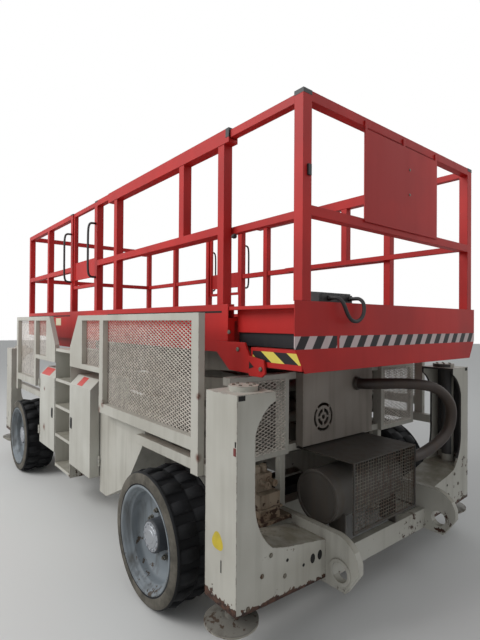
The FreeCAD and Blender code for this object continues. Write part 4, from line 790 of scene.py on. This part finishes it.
def wire_grid(fixed, u0, u1, v0, v1, along, normal):
    """Square welded wires, one layer behind the other: u = u0 + n * pitch, v = v0 + n * pitch."""
    along, normal = np.array(along, float), np.array(normal, float)
    rise = np.array((0.0, 0.0, 1.0))
    base = np.abs(normal) * fixed
    behind = base + normal * WIRE_THICKNESS
    u = np.arange(u0 + WIRE_PITCH[0] / 2, u1, WIRE_PITCH[0])[:, None]
    v = np.arange(v0 + WIRE_PITCH[1] / 2, v1, WIRE_PITCH[1])[:, None]
    upright = bars(base + u * along + v0 * rise, base + u * along + v1 * rise, along * WIRE_THICKNESS,
                   normal * WIRE_THICKNESS)
    level = bars(behind + u0 * along + v * rise, behind + u1 * along + v * rise, rise * WIRE_THICKNESS,
                 normal * WIRE_THICKNESS)
    return upright, level


end_wires = wire_grid(2.4325, -0.391, 0.252, 0.474, 0.864, (0, 1, 0), (-1, 0, 0))
side_wires = wire_grid(0.2545, 2.070, 2.434, 0.474, 0.864, (1, 0, 0), (0, -1, 0))
put("muffler_wires", *joined(end_wires + side_wires), wire_grey, "chassis", closed=False)


# Column fittings

# Profiles
BOLT = ((0, -1), (17, -1), (17, 2.5), (12, 3), (12, 10), (10, 12), (0, 12))
CAP_BOLT = ((0, -1), (9, -1), (9, 6), (7, 7), (0, 7))
DISC = ((0, -0.4), (1, -0.4), (1, 0.5), (0, 0.5))

COLUMN_X, COLUMN_FACE_X, COLUMN_SIDE_Y = 2.241, 2.366, 1.173
CAP_Y, CAP_TOP, CAP_BOLT_RING = 1.030, 1.3405, 0.052
MARK = 0.0005                   # how proud a flat mark, hole or label stands
SIX_ROUND = ((1, 0), (0.5, 0.87), (-0.5, 0.87), (-1, 0), (-0.5, -0.87), (0.5, -0.87))
# Rows of (distance from the middle plane, height)
PLATE_BOLTS = ((0.954, 0.513), (1.012, 0.430), (0.858, 0.379), (1.101, 0.308))
PLATE_HOLES = ((0.720, 0.387), (0.840, 0.452))
PLATE_OVALS = ((0.649, 0.398), (0.592, 0.400))


def scaled(profile, radius, height=1.0):
    """A profile with its radii and heights multiplied."""
    return [(r * radius, h * height) for r, h in profile]


def oval_holes(middles, half_width, half_height, low, high):
    """Ellipses drawn out along x: y = middle + half width * cos turn, z = middle + half height * sin turn."""
    turn = np.linspace(0.0, 2 * np.pi, 32, endpoint=False)
    shapes = []
    for y, z in middles:
        ring = np.stack([y + half_width * np.cos(turn), z + half_height * np.sin(turn)], axis=-1)
        points, faces = prism(ring, (y, z), low, high)
        shapes.append((points[:, (1, 0, 2)], faces))
    return joined(shapes)


def warning_triangle(x, z, reach, low, high):
    """A blank label, point up, its corners rounded: radius = reach * (0.9 + 0.085 * cos 3 * turn)."""
    turn = np.linspace(0.0, 2 * np.pi, 60, endpoint=False)
    radius = reach * (0.9 + 0.085 * np.cos(3 * turn))
    outline = np.stack([x + radius * np.sin(turn), z + radius * np.cos(turn)], axis=-1)
    return prism(outline, (x, z), low, high)


for side_name, side in SIDES:
    for end_name, end in ENDS:
        corner = "%s_%s" % (end_name, side_name)
        back = (end, 0.0, 0.0)
        face, face_y = end * COLUMN_FACE_X, side * COLUMN_SIDE_Y
        cap_bolts = [(end * COLUMN_X + CAP_BOLT_RING * a, side * (CAP_Y + CAP_BOLT_RING * b), CAP_TOP)
                     for a, b in SIX_ROUND]
        put("cap_bolts_" + corner, *turned(cap_bolts, (0, 0, 1), CAP_BOLT, 6), bolt_steel, "chassis")
        plugs = [(face, side * y, z) for y, z in PLATE_BOLTS]
        put("plate_bolts_" + corner, *turned(plugs, back, scaled(BOLT, 0.8, 0.5), 6), bolt_steel, "chassis")
        holes = [(face, side * y, z) for y, z in PLATE_HOLES]
        put("plate_holes_" + corner, *turned(holes, back, scaled(DISC, 9.0), 16), hole_black, "chassis")
        ovals = oval_holes([(side * y, z) for y, z in PLATE_OVALS], 0.018, 0.026, face, face + end * MARK)
        put("plate_ovals_" + corner, *ovals, hole_black, "chassis")
        slots = [(face, face + end * MARK, side * 1.124, side * 1.166, 1.287, 1.311)]
        put("plate_slots_" + corner, *blocks(slots), hole_black, "chassis")
        slots = [(end * 2.246, end * 2.254, face_y, face_y + side * MARK, 0.452, 0.512),
                 (end * 2.350, end * 2.360, face_y, face_y + side * MARK, 1.074, 1.100)]
        put("face_slots_" + corner, *blocks(slots), hole_black, "chassis")
        if end_name == "rear":
            put("label_" + corner, *warning_triangle(2.220, 0.592, 0.048, face_y, face_y + side * MARK),
                label_yellow, "chassis")
            put("reflector_" + corner, *blocks([(2.343, 2.359, face_y, face_y + side * 0.003, 1.034, 1.070)]),
                lens_red, "chassis")


# Doors, deck and rails

DOOR_FACE_Y, DECK_SKIN_Y = 1.155, 0.895
LATCH_X = (("rear", 0.044), ("front", -0.503))
LATCH_STEPS = (0.0025, 0.007)           # how far the latch's cup and its grip stand off the door
POST_INNER_Y, POST_OUTER_Y = 0.834, 0.896
PANEL_BOLT_X, PANEL_BOLT_Y, PANEL_BOLT_Z = 2.518, 0.040, (2.436, 2.588)
KNOB = ((0, 0), (9, 0), (9, 8), (14, 11), (14, 24), (11, 28), (0, 28))

for side_name, side in SIDES:
    face = side * DOOR_FACE_Y
    cup_out, grip_out = [face + side * step for step in LATCH_STEPS]
    for end_name, x in LATCH_X:
        latch_blocks = [(x - 0.022, x + 0.022, face, cup_out, 0.727, 0.823),
                        (x - 0.012, x + 0.012, cup_out, grip_out, 0.742, 0.808)]
        latch = put("latch_%s_%s" % (end_name, side_name), *blocks(latch_blocks), plain_black,
                    "door_%s_%s" % (end_name, side_name))
        soft = latch.modifiers.new("rounded", "BEVEL")
        soft.width, soft.segments = 0.0015, 2
    skin, marked = side * DECK_SKIN_Y, side * (DECK_SKIN_Y + MARK)
    put("deck_label_" + side_name, *blocks([(-1.28, -1.10, skin, marked, 1.612, 1.692)]), label_cream,
        "platform")
    # The slide channels are black: painted shade in the gap under the extension's side.
    channel = [(1.937, 2.503, side * 0.775, side * 0.815, 1.5215, 1.5975)]
    put("slide_channel_painted_shade_" + side_name, *blocks(channel), axle_black, "extension")
    inner, outer = side * POST_INNER_Y, side * POST_OUTER_Y
    put("corner_cap_" + side_name, *blocks([(2.449, 2.511, inner, outer, 2.759, 2.7815)]), plain_black,
        "extension")
    caps = [(-0.801, -0.739, inner, outer, 2.768, 2.7815), (-0.128, -0.066, inner, outer, 2.768, 2.7815),
            (1.900, 1.931, side * 0.840, side * 0.8995, 2.730, 2.7828)]
    put("post_caps_" + side_name, *blocks(caps), plain_black, "platform")
    slots = [(-2.390, -0.800, skin, marked, 1.710, 1.722), (0.190, 1.870, skin, marked, 1.710, 1.722)]
    put("deck_slots_" + side_name, *blocks(slots), hole_black, "platform")

panel_bolts = [(PANEL_BOLT_X, PANEL_BOLT_Y, z) for z in PANEL_BOLT_Z]
put("panel_bolts", *turned(panel_bolts, (1, 0, 0), scaled(BOLT, 0.55, 0.4), 6), bolt_steel, "extension")
put("panel_tabs", *blocks([(2.510, 2.518, y, y + 0.022, 2.714, 2.760) for y in (-0.413, -0.031, 0.351)]), red,
    "extension")
put("post_latch", *blocks([(2.510, 2.521, -0.868, -0.846, 2.365, 2.418)]), plain_black, "extension")
put("post_knob", *turned([(1.930, -0.866, 2.153)], (1, 0, 0), KNOB, 24), plain_black, "platform")


# Brackets below the deck's rear end, towing collars and grab handles

# Outlines as (x, z) rows, each with a middle point inside it
BRACKET = ((1.840, 1.545), (1.840, 1.480), (1.960, 1.385), (2.130, 1.380), (2.135, 1.367), (2.235, 1.367),
           (2.262, 1.387), (2.252, 1.457), (2.135, 1.475), (2.095, 1.545))
BRACKET_MIDDLE = (2.110, 1.430)
BRACKET_HOLE = ((2.135, 1.445), (2.135, 1.405), (2.175, 1.417))
BRACKET_HOLE_MIDDLE = (2.148, 1.422)
BRACKET_OUTER_Y = 0.907
BRACKET_PINS = ((2.230, BRACKET_OUTER_Y, 1.410), (2.040, BRACKET_OUTER_Y, 1.505), (1.945, 0.8955, 1.599))
PIN_HEAD = ((0, -1), (12, -1), (12, 6), (10, 8), (0, 8))
TOW_COLLAR = ((50, -0.5), (70, -0.5), (70, 7), (69, 8), (51, 8), (50, 7), (50, -0.5))
TOW_LUG_X, TOW_LUG_Y, TOW_LUG_Z = 2.466, 0.545, 0.332

HANDLE_POSTS = (-0.770, -0.097)
HANDLE_MIDDLE_Z, HANDLE_HALF_HEIGHT = 2.320, 0.250
HANDLE_ROOT_Y, HANDLE_REACH = 0.8955, 0.0745
HANDLE_RADIUS = 0.010
HANDLE_STEPS = 61


def grab_handle(x, side):
    """Black bent rod along a half superellipse of power 6, that stands off its post and comes back to it.

    Over angles from -90 to 90 degrees, rise = sign(sin) * |sin|^(1/3) and reach = |cos|^(1/3).
    """
    angle = np.linspace(-0.5 * np.pi, 0.5 * np.pi, HANDLE_STEPS)
    rise = np.sign(np.sin(angle)) * np.abs(np.sin(angle)) ** (1.0 / 3.0)
    reach = np.abs(np.cos(angle)) ** (1.0 / 3.0)
    line = np.column_stack([np.full(HANDLE_STEPS, x), side * (HANDLE_ROOT_Y + HANDLE_REACH * reach),
                            HANDLE_MIDDLE_Z + HANDLE_HALF_HEIGHT * rise])
    return swept(line, HANDLE_RADIUS, 14, (1.0, 0.0, 0.0))


for side_name, side in SIDES:
    put("grab_handles_" + side_name, *joined([grab_handle(x, side) for x in HANDLE_POSTS]), plain_black,
        "platform", smooth=True)
    bracket = prism(BRACKET, BRACKET_MIDDLE, side * 0.8951, side * BRACKET_OUTER_Y)
    put("tail_bracket_" + side_name, *bracket, red, "platform")
    tail_plate = [(1.924, 1.9305, side * 0.750, side * DECK_SKIN_Y, 1.452, 1.551)]
    put("tail_plate_" + side_name, *blocks(tail_plate), red, "platform")
    hole = prism(BRACKET_HOLE, BRACKET_HOLE_MIDDLE, side * 0.9068, side * (BRACKET_OUTER_Y + MARK))
    put("bracket_hole_" + side_name, *hole, hole_black, "platform")
    pins = [(x, side * y, z) for x, y, z in BRACKET_PINS]
    put("bracket_pins_" + side_name, *turned(pins, (0, side, 0), PIN_HEAD, 24), bolt_steel, "platform")
    for end_name, end in ENDS:
        lug = (end * TOW_LUG_X, side * TOW_LUG_Y, TOW_LUG_Z)
        put("tow_collar_%s_%s" % (end_name, side_name), *turned([lug], (0, side, 0), TOW_COLLAR, 48), cream,
            "chassis")


# Exhaust pipe, valve block and control box

PIPE_POINTS = ((2.0603, 0.140, 1.236), (2.150, 0.165, 1.238), (2.290, 0.400, 1.236), (2.380, 0.610, 1.200),
               (2.432, 0.730, 1.090), (2.436, 0.740, 0.950), (2.420, 0.655, 0.846), (2.394, 0.450, 0.774),
               (2.394, 0.2625, 0.774))
PIPE_RADIUS = 0.037
PIPE_COLLAR = ((0, 0), (47, 0), (47, 20), (45, 22), (0, 22))
MUFFLER_SEAM = ((0, -0.5), (156, -0.5), (156, 7), (150, 9), (140, 9), (136, 5), (0, 5))
PORT = ((0, 0), (24, 0), (24, 10), (18, 12), (18, 46), (20, 48), (20, 58), (11, 58), (11, 52), (0, 52))
STUD = ((0, 0), (22, 0), (22, 38), (18, 41), (0, 41))
GLAND = ((0, 0), (14, 0), (14, 8), (11, 10), (10, 28), (0, 28))
# Shelf, block, its upper part and the flange round it
VALVE_BLOCKS = ((1.905, 2.105, -0.790, -0.545, 0.500, 0.520), (1.925, 2.085, -0.770, -0.620, 0.520, 0.670),
                (1.945, 2.035, -0.750, -0.640, 0.670, 0.770), (1.935, 2.099, -0.778, -0.612, 0.580, 0.592))

put("exhaust_hose", *swept(smooth_line(PIPE_POINTS), PIPE_RADIUS, 32, (0.707, 0.0, 0.707)), pipe_brown,
    "chassis", smooth=True)
put("exhaust_collar", *turned([(2.060, 0.140, 1.236)], (0.963, 0.270, 0.0), PIPE_COLLAR, 32), drum_dark,
    "chassis")
put("exhaust_plate", *blocks([(2.334, 2.440, 0.2562, 0.262, 0.714, 0.870)]), guard_grey, "chassis")
put("muffler_end_seam", *turned([(2.222, -0.450, 0.637)], (0, -1, 0), MUFFLER_SEAM, 64), drum_dark, "chassis")
put("valve_body", *blocks(VALVE_BLOCKS), cream_block, "chassis")
ports = [(2.034, y, 0.725) for y in (-0.725, -0.665)]
put("valve_ports", *turned(ports, (1, 0, 0), PORT, 24), cream_block, "chassis")
studs = [(1.990, y, 0.769) for y in (-0.720, -0.670)]
put("valve_studs", *turned(studs, (0, 0, 1), STUD, 24), cream_block, "chassis")

BOX_X, BOX_Y, BOX_TOP, BOX_BASE = (2.340, 2.460), (-0.720, -0.445), 1.812, 1.6883
BOX_MIDDLE = (2.400, 1.750)
BOX_RIBS = 4
RIB_WIDTH = (BOX_Y[1] - BOX_Y[0]) / (2.0 * BOX_RIBS)    # and the same between two ribs
case = ((BOX_X[0], BOX_BASE), (BOX_X[1], BOX_BASE), (BOX_X[1], BOX_TOP - 0.008),
        (BOX_X[1] - 0.040, BOX_TOP - 0.003), (BOX_X[0] + 0.020, BOX_TOP - 0.012), (BOX_X[0], BOX_TOP - 0.032))
rib = ((BOX_X[0] + 0.006, BOX_BASE + 0.020), (BOX_X[1] + 0.001, BOX_BASE + 0.020),
       (BOX_X[1] + 0.001, BOX_TOP), (BOX_X[0] + 0.040, BOX_TOP + 0.008), (BOX_X[0] + 0.006, BOX_TOP - 0.014))
control_shapes = [prism(case, BOX_MIDDLE, *BOX_Y)]
control_shapes += [prism(rib, BOX_MIDDLE, BOX_Y[0] + RIB_WIDTH * (2 * i + 0.5),
                         BOX_Y[0] + RIB_WIDTH * (2 * i + 1.5)) for i in range(BOX_RIBS)]
put("control_case", *joined(control_shapes), plain_black, "extension")
glands = [(2.4595, -0.640, 1.784), (2.4595, -0.470, 1.785)]
put("control_glands", *turned(glands, (1, 0, 0), GLAND, 16), plain_black, "extension")


# Blank red labels on the left lockers' sloping tops

LABEL_Y, LABEL_Z = -1.1164, 1.1499
LABEL_X = (("rear", 0.158, 0.278), ("front", -0.895, -0.625))
LABEL_UP_SLOPE = (0.0, 0.062, 0.063)
LABEL_THICKNESS = (0.0, -0.0007, 0.0007)

for end_name, x0, x1 in LABEL_X:
    label = bars([(x0, LABEL_Y, LABEL_Z)], [(x1, LABEL_Y, LABEL_Z)], LABEL_UP_SLOPE, LABEL_THICKNESS)
    put("locker_label_" + end_name, *label, label_red, "door_%s_left" % end_name)


# Floor, backdrop and light

FLOOR_RADIUS, FLOOR_SIDES, FLOOR_Z = 40.0, 96, -0.001
# Rows of (name, place, watts, side of its square)
LAMPS = (("key", (-1.5, -8.0, 6.5), 560.0, 5.0), ("fill", (6.0, 3.0, 7.0), 45.0, 6.0))


def pale_floor():
    """A flat disc of pale matte floor that keeps the object's shadow."""
    material, tree = new_material("studio_floor")
    matte = add(tree, SHADER, {"Base Color": "#d9d9d7", "Roughness": 0.8, "Specular IOR Level": 0.2})
    add(tree, "ShaderNodeOutputMaterial", {"Surface": matte})
    around = np.linspace(0.0, 2.0 * np.pi, FLOOR_SIDES, endpoint=False)
    points = np.column_stack([FLOOR_RADIUS * np.cos(around), FLOOR_RADIUS * np.sin(around),
                              np.full(FLOOR_SIDES, FLOOR_Z)])
    mesh = bpy.data.meshes.new("floor")
    mesh.from_pydata(points.tolist(), [], [list(range(FLOOR_SIDES))])
    mesh.materials.append(material)
    floor = bpy.data.objects.new("floor", mesh)
    bpy.context.scene.collection.objects.link(floor)


def studio_light():
    """White world for camera and reflections, softer grey for light, and two large soft lamps."""
    world = bpy.data.worlds.new("studio")
    bpy.context.scene.world = world
    world.use_nodes = True
    tree = world.node_tree
    tree.nodes.clear()
    rays = add(tree, "ShaderNodeLightPath").outputs
    seen = add(tree, MATH, {0: rays["Is Camera Ray"], 1: rays["Is Glossy Ray"]}, operation="MAXIMUM")
    seen = add(tree, MATH, {0: seen, 1: rays["Is Transmission Ray"]}, operation="MAXIMUM")
    soft = add(tree, BACKGROUND, {"Color": "#f2f5f8", "Strength": 0.46})
    white = add(tree, BACKGROUND, {"Color": "#ffffff", "Strength": 1.0})
    mix = add(tree, "ShaderNodeMixShader", {0: seen, 1: soft, 2: white})
    add(tree, "ShaderNodeOutputWorld", {"Surface": mix})
    for name, place, power, size in LAMPS:
        data = bpy.data.lights.new(name, "AREA")
        data.energy = power
        data.size = size
        lamp = bpy.data.objects.new(name, data)
        lamp.location = place
        lamp.rotation_euler = (Vector((0.0, 0.0, 1.0)) - Vector(place)).to_track_quat("-Z", "Y").to_euler()
        bpy.context.scene.collection.objects.link(lamp)


pale_floor()
studio_light()
bpy.context.scene.view_settings.view_transform = "Standard"
